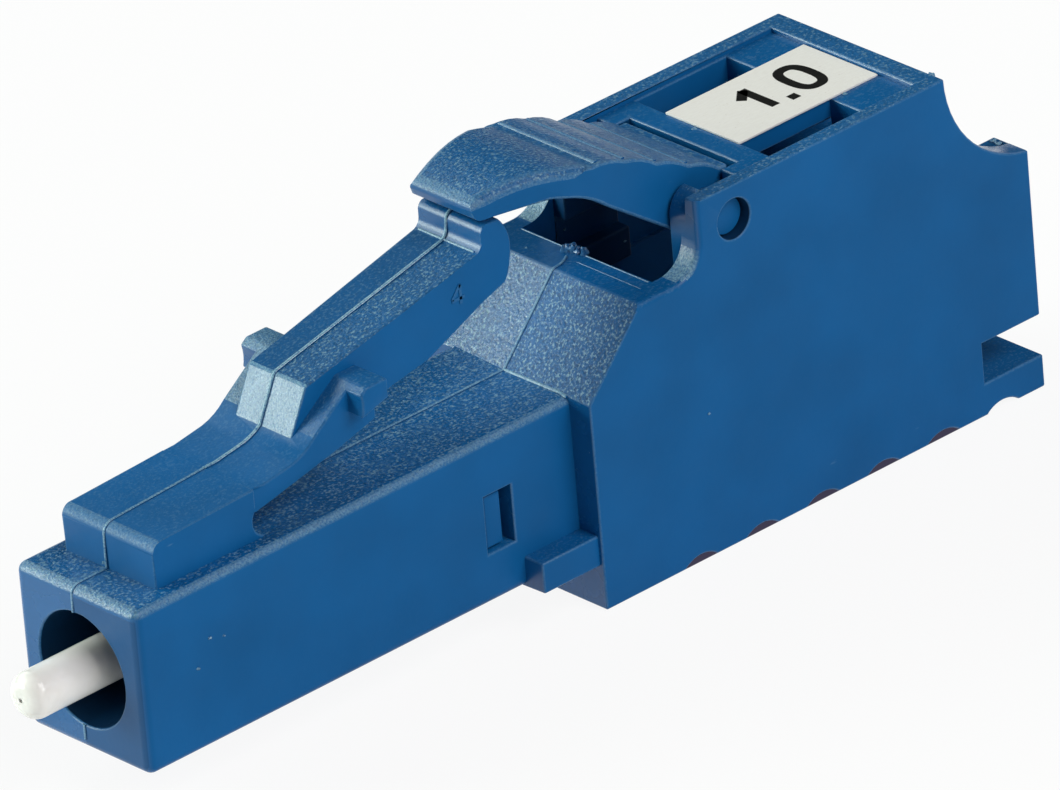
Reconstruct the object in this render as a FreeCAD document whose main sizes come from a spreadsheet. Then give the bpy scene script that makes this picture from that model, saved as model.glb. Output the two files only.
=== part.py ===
import FreeCAD, Part
import math
import os
import Sketcher

# Plug-in LC fibre attenuator, in millimetres.
# Stations run along X from the plug's nose face towards the rear port, heights run
# along Z from the flat underside, and the object is symmetric about the plane Y = 0.
# Every body is then shifted along X, so that the origin is the centre of the footprint.

DIMENSIONS = {
    # Plug nose
    "plug_width": 4.42,
    "plug_height": 4.5,
    "plug_base": 1.2,
    "plug_edge": 0.26,
    "nose_bore": 3.1,
    "nose_bore_depth": 6.8,
    "rib_front": 12.5,
    "rib_height": 0.84,
    "rib_span": 5.72,
    "side_window_front": 11.36,
    "side_window_length": 0.91,
    "side_window_low": 2.57,
    "side_window_height": 1.58,
    # Shell of the rear port
    "shell_width": 5.96,
    "shell_front": 14.37,
    "shell_rear": 29.52,
    "shell_height": 9.7,
    "slope_end": 16.25,
    "ledge_height": 7.74,
    "ear_front": 18.36,
    "ear_foot": 0.87,
    "ear_edge": 0.16,
    "scoop_start": 26.87,
    "scoop_end": 6.65,
    "scoop_radius": 3.1,
    "rear_slot_front": 27.5,
    "rear_slot_low": 0.9,
    "rear_slot_high": 2.02,
    "wall": 0.57,
    "rim": 0.44,
    "groove_first": 17.61,
    "groove_pitch": 2.09,
    "groove_count": 6,
    "groove_length": 1.1,
    "groove_depth": 0.2,
    # Port for the mating plug
    "port_width": 4.62,
    "port_floor": 1.1,
    "port_roof": 5.8,
    "port_end": 15.0,
    "channel_front": 16.8,
    "channel_width": 3.5,
    "channel_roof": 7.1,
    "lug_roof": 7.6,
    "catch_roof": 9.0,
    "arm_slot_width": 2.5,
    "window_front": 21.47,
    "window_rear": 24.57,
    "window_span": 4.95,
    "bar_width": 2.5,
    "panel_front": 20.73,
    "panel_rear": 26.2,
    "panel_recess": 0.15,
    # Pocket and bearings of the trigger
    "pocket_front": 17.28,
    "pocket_width": 4.7,
    "pad_gap": 3.86,
    "pad_corner": 0.7,
    "pivot_station": 19.57,
    "pivot_height": 8.76,
    "pivot_bore": 1.08,
    "lead_in": 1.24,
    # Trigger lever
    "trunnion": 0.98,
    "trunnion_span": 5.36,
    "trigger_width": 3.7,
    "trigger_nose_width": 2.2,
    "trigger_nose": 12.68,
    "trigger_nose_height": 11.2,
    "trigger_lip": 12.83,
    "trigger_under": 10.82,
    "trigger_flare": 15.2,
    "brow": 12.95,
    "brow_height": 11.42,
    "brow_edge": 0.18,
    "crown_radius": 4.95,
    "crown_end": 16.1,
    "crown_end_height": 11.25,
    "arch_front": 14.75,
    "arch_rear": 16.52,
    "arch_height": 9.95,
    "arch_radius": 3.5,
    "boss_radius": 0.82,
    "trigger_tail": 20.52,
    "trigger_edge": 0.2,
    "grip_first": 17.2,
    "grip_height": 10.98,
    "grip_pitch": 1.02,
    "grip_drop": 0.475,
    "grip_radius": 2.2,
    "grip_count": 4,
    # Latch
    "latch_front": 1.2,
    "latch_width": 3.3,
    "latch_front_height": 6.9,
    "latch_front_round": 0.3,
    "slot_radius": 0.45,
    "flex_station": 4.9,
    "flex_height": 6.76,
    "leaf_thickness": 0.6,
    "flex_gap": 0.03,
    "leaf_knee": 7.2,
    "leaf_knee_height": 6.94,
    "leaf_end_height": 7.31,
    "sweep_front": 5.6,
    "sweep_front_height": 7.17,
    "sweep_rear": 6.6,
    "sweep_rear_height": 7.61,
    "sweep_radius": 1.6,
    "lug_front": 7.75,
    "lug_crest": 7.95,
    "lug_rear": 8.64,
    "lug_low": 7.82,
    "lug_rear_low": 8.08,
    "lug_top": 8.6,
    "lug_span": 4.39,
    "lug_hollow": 1.1,
    "arm_width": 2.26,
    "arm_front_width": 2.04,
    "arm_toe": 6.41,
    "arm_toe_height": 7.45,
    "arm_front": 7.02,
    "arm_front_height": 8.66,
    "arm_rear_height": 9.98,
    "belly_front": 10.95,
    "belly_front_height": 7.77,
    "belly_rear": 12.91,
    "belly_rear_height": 8.62,
    "hump_front": 12.92,
    "hump_crest": 13.53,
    "hump_rear": 13.83,
    "hump_top": 10.63,
    "hump_foot": 0.3,
    "hump_edge": 0.22,
    "hump_waist": 9.43,
    "hump_toe": 13.6,
    "hump_toe_height": 8.84,
    "hump_radius": 1.2,
    # Optical stub and its spring
    "ferrule_diameter": 1.249,
    "ferrule_reach": 2.0,
    "ferrule_tip_round": 0.42,
    "ferrule_neck": 0.9,
    "optical_plane": 14.2,
    "fibre_diameter": 0.125,
    "stop_bore": 2.4,
    "stop_rear": 7.6,
    "flange_diameter": 2.8,
    "flange_rear": 8.9,
    "collar_diameter": 2.0,
    "collar_rear": 9.6,
    "chamber_bore": 3.1,
    "wire_diameter": 0.28,
    "wire_sides": 12,
    "coil_diameter": 2.5,
    "coil_pitch": 0.455,
    "coil_turns": 4,
    # Sleeve and its holder
    "holder_front": 11.0,
    "holder_body": 3.04,
    "holder_disc": 4.2,
    "holder_disc_rear": 15.6,
    "holder_tube": 2.9,
    "holder_rear": 18.8,
    "holder_bore": 1.72,
    "holder_lip_bore": 1.44,
    "holder_lip": 0.35,
    "snap_span": 4.16,
    "snap_length": 0.54,
    "snap_clearance": 0.08,
    "sleeve_outer": 1.62,
    "sleeve_bore": 1.27,
    "sleeve_slit": 0.2,
    "sleeve_play": 0.03,
    # Label
    "label_front": 21.4,
    "label_length": 4.76,
    "label_width": 2.66,
    "label_thickness": 0.06,
}
BEYOND = 2.0  # how far a cutting profile runs past the surface that it opens
SAME_PLACE = 1e-4  # how far apart two measures of one place may be


class Size:
    """A number together with the spreadsheet expression that gives it."""

    def __init__(self, value, text):
        self.value = value
        self.text = text

    def _joined(self, sign, other, value):
        return Size(value, "(%s %s %s)" % (self.text, sign, as_size(other).text))

    def __add__(self, other):
        return self._joined("+", other, self.value + as_size(other).value)

    def __sub__(self, other):
        return self._joined("-", other, self.value - as_size(other).value)

    def __mul__(self, other):
        return self._joined("*", other, self.value * as_size(other).value)

    def __truediv__(self, other):
        return self._joined("/", other, self.value / as_size(other).value)

    def __neg__(self):
        return Size(-self.value, "(-%s)" % self.text)


def as_size(number):
    """Wraps a plain number, so that it can stand beside a sheet cell."""
    if isinstance(number, Size):
        return number
    return Size(float(number), repr(float(number)))


def fill_sheet(document):
    """Writes the driving dimensions and returns them as sizes by name."""
    sheet = document.addObject("Spreadsheet::Sheet", "Sizes")
    cells = {}
    for row, (name, number) in enumerate(DIMENSIONS.items(), start=1):
        sheet.set("A%d" % row, name)
        sheet.set("B%d" % row, str(number))
        sheet.setAlias("B%d" % row, name)
        cells[name] = Size(number, "Sizes.%s" % name)
    document.recompute()
    return cells


doc = FreeCAD.newDocument("attenuator")
cell = fill_sheet(doc)
plug_top = cell["plug_base"] + cell["plug_height"]
axis_height = cell["plug_base"] + cell["plug_height"] / 2
middle = (cell["shell_rear"] - cell["ferrule_reach"]) / 2
panel_top = cell["shell_height"] - cell["panel_recess"]


def new_body(label):
    """Starts a sub-part in the shared frame."""
    body = doc.addObject("PartDesign::Body", label)
    body.Label = label
    body.setExpression("Placement.Base.x", (-middle).text)
    return body


def new_sketch(body, name, role):
    """Starts a sketch on one of the body's own origin planes."""
    sketch = body.newObject("Sketcher::SketchObject", name)
    plane = [item for item in body.Origin.OriginFeatures if item.Role == role][0]
    sketch.AttachmentSupport = (plane, [""])
    sketch.MapMode = "FlatFace"
    return sketch


def bind(sketch, kind, size, *places):
    """Adds a dimension to a sketch and ties it to the sheet."""
    index = sketch.addConstraint(Sketcher.Constraint(kind, *places, size.value))
    sketch.setExpression("Constraints[%d]" % index, size.text)


def pin_point(sketch, curve, end, point):
    """Gives one end of a curve its place from the sketch's origin."""
    bind(sketch, "DistanceX", as_size(point[0]), -1, 1, curve, end)
    bind(sketch, "DistanceY", as_size(point[1]), -1, 1, curve, end)


def arc_through(start, end, radius, side):
    """Arc between two points; side +1 bulges to the left of the way, -1 to the right."""
    chord = end - start
    half = chord.Length / 2
    height = radius - math.sqrt(max(radius * radius - half * half, 0.0))
    left = FreeCAD.Vector(-chord.y, chord.x, 0).normalize()
    return Part.Arc(start, start + chord / 2 + left * (height * side), end)


def draw_outline(sketch, points, arcs=None):
    """Draws a closed outline; arcs maps a point's index to (radius, side) of what follows it."""
    arcs = arcs or {}
    places = [FreeCAD.Vector(as_size(x).value, as_size(y).value, 0) for x, y in points]
    ends = []
    for index, start in enumerate(places):
        finish = places[(index + 1) % len(places)]
        if index in arcs:
            radius, side = arcs[index]
            curve = sketch.addGeometry(arc_through(start, finish, as_size(radius).value, side), False)
        else:
            curve = sketch.addGeometry(Part.LineSegment(start, finish), False)
        starts_here = (sketch.getPoint(curve, 1) - start).Length < SAME_PLACE
        ends.append((curve, 1, 2) if starts_here else (curve, 2, 1))
    for index, (curve, _, last) in enumerate(ends):
        following = ends[(index + 1) % len(ends)]
        sketch.addConstraint(Sketcher.Constraint("Coincident", curve, last, following[0], following[1]))
    for index, (curve, first, _) in enumerate(ends):
        pin_point(sketch, curve, first, points[index])
        if index in arcs:
            bind(sketch, "Radius", as_size(arcs[index][0]), curve)


def draw_circle(sketch, centre, diameter):
    """Draws one circle with its centre and diameter tied to the sheet."""
    place = FreeCAD.Vector(as_size(centre[0]).value, as_size(centre[1]).value, 0)
    curve = sketch.addGeometry(Part.Circle(place, FreeCAD.Vector(0, 0, 1), diameter.value / 2), False)
    pin_point(sketch, curve, 3, centre)
    bind(sketch, "Diameter", diameter, curve)


def box_outline(low_x, high_x, low_y, high_y):
    """Corners of a rectangle, in order."""
    return [(low_x, low_y), (high_x, low_y), (high_x, high_y), (low_x, high_y)]


def extrude(body, kind, name, sketch, width):
    """Pads or pockets a sketch evenly to both sides of its plane."""
    feature = body.newObject("PartDesign::" + kind, name)
    feature.Profile = sketch
    feature.SideType = "Symmetric"
    feature.setExpression("Length", width.text)
    doc.recompute()
    return feature


def side_pad(body, name, points, width, arcs=None):
    """Adds a plate whose outline is seen from the side."""
    sketch = new_sketch(body, name + "_outline", "XZ_Plane")
    draw_outline(sketch, points, arcs)
    return extrude(body, "Pad", name, sketch, width)


def side_cut(body, name, points, width, arcs=None):
    """Cuts a slot whose outline is seen from the side."""
    sketch = new_sketch(body, name + "_outline", "XZ_Plane")
    draw_outline(sketch, points, arcs)
    return cut_with(body, name, sketch, width)


def cut_with(body, name, sketch, width):
    """Cuts a sketch evenly to both sides and makes sure that it took something away."""
    before = body.Tip.Shape.Volume
    feature = extrude(body, "Pocket", name, sketch, width)
    if feature.Shape.Volume >= before:
        raise ValueError("%s cuts nothing" % name)
    return feature


def turned(body, kind, name, points):
    """Turns a half section about the ferrule's axis; radii are measured from that axis."""
    sketch = new_sketch(body, name + "_section", "XZ_Plane")
    draw_outline(sketch, [(station, axis_height + radius) for station, radius in points])
    reach = FreeCAD.Vector(1, 0, 0)
    start = FreeCAD.Vector(0, axis_height.value, 0)
    axis = sketch.addGeometry(Part.LineSegment(start, start + reach), True)
    pin_point(sketch, axis, 1, (0, axis_height))
    pin_point(sketch, axis, 2, (1, axis_height))
    feature = body.newObject("PartDesign::" + kind, name)
    feature.Profile = sketch
    feature.ReferenceAxis = (sketch, ["Axis0"])
    feature.Angle = 360
    doc.recompute()
    return feature


def dress_edges(body, kind, name, wanted):
    """Starts a dressing feature on the edges of the body's newest feature that the test picks."""
    base = body.Tip
    edges = ["Edge%d" % number for number, edge in enumerate(base.Shape.Edges, start=1) if wanted(edge)]
    feature = body.newObject("PartDesign::" + kind, name)
    feature.Base = (base, edges)
    return feature


def rounded(body, name, radius, wanted):
    """Rounds the picked edges."""
    feature = dress_edges(body, "Fillet", name, wanted)
    feature.setExpression("Radius", radius.text)
    doc.recompute()
    return feature


def bevelled(body, name, size, wanted):
    """Bevels the picked edges evenly."""
    feature = dress_edges(body, "Chamfer", name, wanted)
    feature.setExpression("Size", size.text)
    doc.recompute()
    return feature


def runs_along(edge, axis):
    """True for a straight edge along an axis, given as 0, 1 or 2."""
    if len(edge.Vertexes) < 2:
        return False
    direction = edge.Vertexes[1].Point - edge.Vertexes[0].Point
    return near(abs(direction[axis]), edge.Length)


def near(value, target):
    """True for two measures of the same place."""
    return abs(value - as_size(target).value) < SAME_PLACE


def is_plug_edge(edge):
    """The plug's four long edges and the four edges of its nose face."""
    at_nose = near(edge.BoundBox.XMin, 0) and near(edge.BoundBox.XMax, 0)
    return runs_along(edge, 0) or at_nose


def is_ear_edge(edge):
    """The outer edges of the ears' fronts and of the rounds at their feet."""
    box = edge.BoundBox
    outside = near(abs(box.Center.y), cell["shell_width"] / 2)
    before = box.XMax < cell["ear_front"].value + SAME_PLACE
    return outside and before and box.XMin > cell["slope_end"].value and box.ZLength > SAME_PLACE


def is_root_edge(edge):
    """The upper front edge of the latch root."""
    centre = edge.BoundBox.Center
    at_front = near(centre.x, cell["latch_front"]) and near(centre.z, cell["latch_front_height"])
    return runs_along(edge, 1) and at_front


def add_plug(body):
    """Square nose with rounded edges, and the ribs that stop it in its socket."""
    c = cell
    rear = c["shell_front"] + c["wall"]
    side_pad(body, "plug", box_outline(0, rear, c["plug_base"], plug_top), c["plug_width"])
    rounded(body, "plug_edges", c["plug_edge"], is_plug_edge)
    rib_top = c["plug_base"] + c["rib_height"]
    side_pad(body, "stop_ribs", box_outline(c["rib_front"], rear, c["plug_base"], rib_top), c["rib_span"])


def add_shell(body):
    """Block of the rear port: sloped front, ledge, ears and the scooped rear."""
    c = cell
    foot = c["ear_front"] - c["ear_foot"]
    outline = [
        (c["shell_front"], 0),
        (c["shell_rear"], 0),
        (c["shell_rear"], c["scoop_end"]),
        (c["scoop_start"], c["shell_height"]),
        (c["ear_front"], c["shell_height"]),
        (c["ear_front"], c["ledge_height"] + c["ear_foot"]),
        (foot, c["ledge_height"]),
        (c["slope_end"], c["ledge_height"]),
        (c["shell_front"], plug_top),
    ]
    arcs = {2: (c["scoop_radius"], 1), 5: (c["ear_foot"], 1)}
    side_pad(body, "shell", outline, c["shell_width"], arcs)
    rounded(body, "ear_edges", c["ear_edge"], is_ear_edge)


def add_latch_root(body):
    """Block on the plug's top that the latch leaf springs from, with a round slot under it."""
    c = cell
    half = c["leaf_thickness"] / 2
    end = c["flex_station"] - half - c["flex_gap"]
    foot = plug_top - c["wall"]
    outline = [
        (c["latch_front"], foot),
        (end + half, foot),
        (end + half, plug_top),
        (end, c["flex_height"] - half),
        (end, c["flex_height"] + half),
        (c["latch_front"], c["latch_front_height"]),
    ]
    side_pad(body, "latch_root", outline, c["latch_width"], {2: (c["slot_radius"], 1)})
    rounded(body, "root_edge", c["latch_front_round"], is_root_edge)


def cut_port(body):
    """Hollows out the socket, the way of the mating latch and the windows above its catches."""
    c = cell
    out = c["shell_rear"] + BEYOND
    port = box_outline(c["port_end"], out, c["port_floor"], c["port_roof"])
    side_cut(body, "port", port, c["port_width"])
    channel = box_outline(c["channel_front"], out, c["port_floor"], c["channel_roof"])
    side_cut(body, "latch_channel", channel, c["channel_width"])
    lug_way = box_outline(c["pocket_front"], out, c["scoop_end"], c["lug_roof"])
    side_cut(body, "lug_way", lug_way, c["port_width"])
    catch = box_outline(c["panel_front"] - c["wall"] / 2, c["window_rear"], c["port_roof"], c["catch_roof"])
    side_cut(body, "catch_chamber", catch, c["window_span"])
    arm_slot = box_outline(c["window_rear"] - c["wall"], out, c["port_roof"], c["catch_roof"])
    side_cut(body, "arm_slot", arm_slot, c["arm_slot_width"])
    slot = box_outline(c["rear_slot_front"], out, c["rear_slot_low"], c["rear_slot_high"])
    side_cut(body, "rear_slot", slot, c["shell_width"] + BEYOND)


def cut_top(body):
    """Sinks the panel, opens the trigger's pocket and the two windows."""
    c = cell
    over = c["shell_height"] + BEYOND
    inner = c["shell_width"] - c["rim"] * 2
    lead_front = c["pivot_station"] - c["lead_in"] / 2
    recess = box_outline(lead_front, c["panel_rear"], panel_top, over)
    side_cut(body, "panel_recess_cut", recess, inner)
    pad_foot = c["shell_height"] - c["pad_corner"]
    pad_rounds = [
        (c["ear_front"], pad_foot),
        (c["ear_front"] + c["pad_corner"], c["shell_height"]),
        (c["ear_front"] + c["pad_corner"], over),
        (c["ear_front"] - c["rim"], over),
        (c["ear_front"] - c["rim"], pad_foot),
    ]
    side_cut(body, "pad_corners", pad_rounds, inner, {0: (c["pad_corner"], 1)})
    front = box_outline(c["pocket_front"], c["ear_front"], c["port_roof"], over)
    side_cut(body, "pocket_mouth", front, c["pocket_width"])
    pocket = box_outline(c["ear_front"] - c["wall"], c["panel_front"], c["port_roof"], over)
    side_cut(body, "pocket", pocket, c["pad_gap"])
    lead = box_outline(lead_front, lead_front + c["lead_in"], c["pivot_height"], over)
    side_cut(body, "lead_in_slots", lead, inner)
    windows = new_sketch(body, "windows_outline", "XY_Plane")
    windows.setExpression("AttachmentOffset.Base.z", panel_top.text)
    for side in (-1, 1):
        near_edge = c["bar_width"] / 2 * side
        far_edge = c["window_span"] / 2 * side
        draw_outline(windows, box_outline(c["window_front"], c["window_rear"], near_edge, far_edge))
    cut_with(body, "windows", windows, c["wall"] * 2)


def cut_bores(body):
    """Stepped bore of the stub, windows for the holder's snaps and the trigger's bearings."""
    c = cell
    stop = c["nose_bore_depth"]
    bore = [
        (-c["wall"], 0),
        (c["port_end"] + c["wall"], 0),
        (c["port_end"] + c["wall"], c["chamber_bore"] / 2),
        (c["stop_rear"], c["chamber_bore"] / 2),
        (c["stop_rear"], c["stop_bore"] / 2),
        (stop, c["stop_bore"] / 2),
        (stop, c["nose_bore"] / 2),
        (-c["wall"], c["nose_bore"] / 2),
    ]
    turned(body, "Groove", "stepped_bore", bore)
    window_rear = c["side_window_front"] + c["side_window_length"]
    window_top = c["side_window_low"] + c["side_window_height"]
    window = box_outline(c["side_window_front"], window_rear, c["side_window_low"], window_top)
    side_cut(body, "side_windows", window, c["shell_width"])
    bearings = new_sketch(body, "bearings_outline", "XZ_Plane")
    draw_circle(bearings, (c["pivot_station"], c["pivot_height"]), c["pivot_bore"])
    cut_with(body, "bearings", bearings, c["shell_width"] + BEYOND)


def cut_grooves(body):
    """Row of shallow grip grooves across the underside."""
    c = cell
    half = c["groove_length"] / 2
    depth = c["groove_depth"]
    radius = (half * half + depth * depth) / (depth * 2)
    front = c["groove_first"] - half
    rear = c["groove_first"] + half
    outline = [(front, 0), (front, -depth), (rear, -depth), (rear, 0)]
    first = side_cut(body, "groove", outline, c["shell_width"] + BEYOND, {3: (radius, -1)})
    row = body.newObject("PartDesign::LinearPattern", "grooves")
    row.Originals = [first]
    row.Direction = (body.Origin.OriginFeatures[0], [""])
    row.setExpression("Length", (c["groove_pitch"] * (c["groove_count"] - 1)).text)
    row.setExpression("Occurrences", c["groove_count"].text)
    body.Tip = row
    doc.recompute()


def make_housing():
    """Plug nose, latch root and port shell, moulded as one piece."""
    body = new_body("housing")
    add_plug(body)
    add_shell(body)
    add_latch_root(body)
    cut_port(body)
    cut_top(body)
    cut_bores(body)
    cut_grooves(body)
    return body


def cut_taper(body, front, rear, narrow, wide):
    """Trims both sides of a bar in plan, from its narrow front to its full width."""
    plan = new_sketch(body, "taper_outline", "XY_Plane")
    ahead = front - BEYOND
    for side in (-1, 1):
        inner = narrow / 2 * side
        outer = wide / 2 * side
        outline = [(ahead, inner), (front, inner), (rear, outer), (ahead, outer)]
        draw_outline(plan, outline[::side])
    return cut_with(body, "taper", plan, cell["brow_height"] * 2 + BEYOND)


def crosses_hump(edge, height):
    """True for a cross edge on the front of the latch's hump, at a given height."""
    centre = edge.BoundBox.Center
    return runs_along(edge, 1) and near(centre.x, cell["hump_front"]) and near(centre.z, height)


def is_hump_foot(edge):
    """The inner edge between the arm's top and the front of its hump."""
    return crosses_hump(edge, cell["arm_rear_height"])


def is_hump_edge(edge):
    """The upper front edge of the hump."""
    return crosses_hump(edge, cell["hump_top"])


def add_arm(body):
    """Raised bar of the latch, flared towards the hump at its rear end."""
    c = cell
    arm = [
        (c["arm_toe"], c["arm_toe_height"]),
        (c["lug_rear"], c["leaf_end_height"]),
        (c["belly_front"], c["belly_front_height"]),
        (c["belly_rear"], c["belly_rear_height"]),
        (c["hump_toe"], c["hump_toe_height"]),
        (c["hump_rear"], c["hump_waist"]),
        (c["hump_crest"], c["hump_top"]),
        (c["hump_front"], c["hump_top"]),
        (c["hump_front"], c["arm_rear_height"]),
        (c["arm_front"], c["arm_front_height"]),
    ]
    bends = {4: (c["hump_radius"], -1), 5: (c["hump_radius"], -1)}
    side_pad(body, "arm", arm, c["arm_width"], bends)
    cut_taper(body, c["arm_toe"], c["hump_front"], c["arm_front_width"], c["arm_width"])
    rounded(body, "hump_foot_round", c["hump_foot"], is_hump_foot)
    rounded(body, "hump_edge_round", c["hump_edge"], is_hump_edge)


def make_latch_arm():
    """Leaf, catch lugs, raised arm and the hump that the trigger presses."""
    c = cell
    body = new_body("latch_arm")
    add_arm(body)
    half = c["leaf_thickness"] / 2
    leaf = [
        (c["flex_station"], c["flex_height"] - half),
        (c["leaf_knee"], c["leaf_knee_height"]),
        (c["lug_rear"], c["leaf_end_height"]),
        (c["lug_rear"], c["lug_top"]),
        (c["lug_crest"], c["lug_top"]),
        (c["sweep_rear"], c["sweep_rear_height"]),
        (c["sweep_front"], c["sweep_front_height"]),
        (c["flex_station"], c["flex_height"] + half),
    ]
    side_pad(body, "leaf", leaf, c["latch_width"], {5: (c["sweep_radius"], 1), 7: (half, -1)})
    leaf_slope = (c["lug_top"] - c["sweep_rear_height"]) / (c["lug_crest"] - c["sweep_rear"])
    lugs = [
        (c["lug_front"], c["lug_low"]),
        (c["lug_rear"], c["lug_rear_low"]),
        (c["lug_rear"], c["lug_top"]),
        (c["lug_crest"], c["lug_top"]),
        (c["lug_front"], c["lug_top"] - leaf_slope * (c["lug_crest"] - c["lug_front"])),
    ]
    side_pad(body, "lugs", lugs, c["lug_span"], {4: (c["lug_hollow"], 1)})
    return body


def lever_outline():
    """Side view of the trigger: lip, arched underside, pivot boss and the ribbed top."""
    c = cell
    boss = c["boss_radius"]
    run = (c["pivot_station"] - c["arch_rear"]).value
    rise = (c["pivot_height"] - c["arch_height"]).value
    tangent = math.atan2(rise, run) - math.asin(boss.value / math.hypot(run, rise))
    points = [
        (c["trigger_lip"], c["trigger_under"]),
        (c["arch_front"], c["trigger_under"]),
        (c["arch_rear"], c["arch_height"]),
        (c["pivot_station"] + boss * math.sin(tangent), c["pivot_height"] - boss * math.cos(tangent)),
        (c["pivot_station"] + boss, c["pivot_height"]),
    ]
    arcs = {1: (c["arch_radius"], 1), 3: (boss, -1)}
    last = DIMENSIONS["grip_count"] - 1
    points.append((c["trigger_tail"], c["grip_height"] - c["grip_drop"] * last))
    for number in range(last, -1, -1):
        arcs[len(points)] = (c["grip_radius"], -1)
        station = c["grip_first"] + c["grip_pitch"] * number
        points.append((station, c["grip_height"] - c["grip_drop"] * number))
    arcs[len(points)] = (c["crown_radius"], -1)
    points.append((c["crown_end"], c["crown_end_height"]))
    points.append((c["brow"], c["brow_height"]))
    points.append((c["trigger_nose"], c["trigger_nose_height"]))
    return points, arcs


def is_nose_edge(edge):
    """The two cross edges of the trigger's front face."""
    return runs_along(edge, 1) and edge.BoundBox.XMax < cell["trigger_lip"].value + SAME_PLACE


def is_brow_edge(edge):
    """The long side edges of the trigger's smooth front top."""
    box = edge.BoundBox
    behind_brow = box.XMin > cell["brow"].value - SAME_PLACE
    before_grips = box.XMax < cell["crown_end"].value + SAME_PLACE
    high = box.ZMin > cell["crown_end_height"].value - SAME_PLACE
    return behind_brow and before_grips and high and box.XLength > SAME_PLACE


def make_trigger_lever():
    """Lever that covers the latch's tail and turns on two trunnions at its rear."""
    c = cell
    body = new_body("trigger_lever")
    points, arcs = lever_outline()
    side_pad(body, "lever", points, c["trigger_width"], arcs)
    rounded(body, "nose_edges", c["trigger_edge"], is_nose_edge)
    cut_taper(body, c["trigger_nose"], c["trigger_flare"], c["trigger_nose_width"], c["trigger_width"])
    bevelled(body, "brow_edges", c["brow_edge"], is_brow_edge)
    trunnions = new_sketch(body, "trunnions_outline", "XZ_Plane")
    draw_circle(trunnions, (c["pivot_station"], c["pivot_height"]), c["trunnion"])
    extrude(body, "Pad", "trunnions", trunnions, c["trunnion_span"])
    return body


def is_tip_edge(edge):
    """The outer edge of the stub's front end."""
    box = edge.BoundBox
    return near(box.XMax, -cell["ferrule_reach"]) and near(box.YLength, cell["ferrule_diameter"])


def make_ferrule():
    """Ceramic stub with a rounded tip, a neck for its flange and the fine bore for the fibre."""
    c = cell
    body = new_body("ferrule")
    radius = c["ferrule_diameter"] / 2
    neck = c["ferrule_neck"] / 2
    bore = c["fibre_diameter"] / 2
    section = [
        (-c["ferrule_reach"], bore),
        (c["optical_plane"], bore),
        (c["optical_plane"], radius),
        (c["collar_rear"], radius),
        (c["collar_rear"], neck),
        (c["stop_rear"], neck),
        (c["stop_rear"], radius),
        (-c["ferrule_reach"], radius),
    ]
    turned(body, "Revolution", "stub", section)
    rounded(body, "tip_round", c["ferrule_tip_round"], is_tip_edge)
    return body


def make_attenuating_fibre():
    """Doped fibre bonded in the stub from end to end."""
    c = cell
    body = new_body("attenuating_fibre")
    section = box_outline(-c["ferrule_reach"], c["optical_plane"], 0, c["fibre_diameter"] / 2)
    turned(body, "Revolution", "fibre", section)
    return body


def make_ferrule_flange():
    """Metal flange gripped in the stub's neck, with a collar that centres the spring."""
    c = cell
    body = new_body("ferrule_flange")
    neck = c["ferrule_neck"] / 2
    section = [
        (c["stop_rear"], neck),
        (c["collar_rear"], neck),
        (c["collar_rear"], c["collar_diameter"] / 2),
        (c["flange_rear"], c["collar_diameter"] / 2),
        (c["flange_rear"], c["flange_diameter"] / 2),
        (c["stop_rear"], c["flange_diameter"] / 2),
    ]
    turned(body, "Revolution", "flange", section)
    return body


def make_spring():
    """Compression coil between the flange and the sleeve holder."""
    c = cell
    coil = doc.addObject("Part::Helix", "coil_path")
    coil.setExpression("Pitch", c["coil_pitch"].text)
    coil.setExpression("Height", (c["coil_pitch"] * c["coil_turns"]).text)
    coil.setExpression("Radius", (c["coil_diameter"] / 2).text)
    wire = doc.addObject("Part::RegularPolygon", "wire_section")
    wire.setExpression("Polygon", c["wire_sides"].text)
    wire.setExpression("Circumradius", (c["wire_diameter"] / 2).text)
    wire.setExpression("Placement.Base.x", (c["coil_diameter"] / 2).text)
    wire.Placement.Rotation = FreeCAD.Rotation(FreeCAD.Vector(1, 0, 0), 90)
    sweep = doc.addObject("Part::Sweep", "spring")
    sweep.Sections = [wire]
    sweep.Spine = (coil, [])
    sweep.Solid = True
    sweep.Frenet = True
    sweep.Label = "spring"
    sweep.Placement.Rotation = FreeCAD.Rotation(FreeCAD.Vector(0, 1, 0), 90)
    start = c["flange_rear"] + c["wire_diameter"] / 2
    sweep.setExpression("Placement.Base.x", (start - middle).text)
    sweep.setExpression("Placement.Base.z", axis_height.text)
    doc.recompute()
    return sweep


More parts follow.
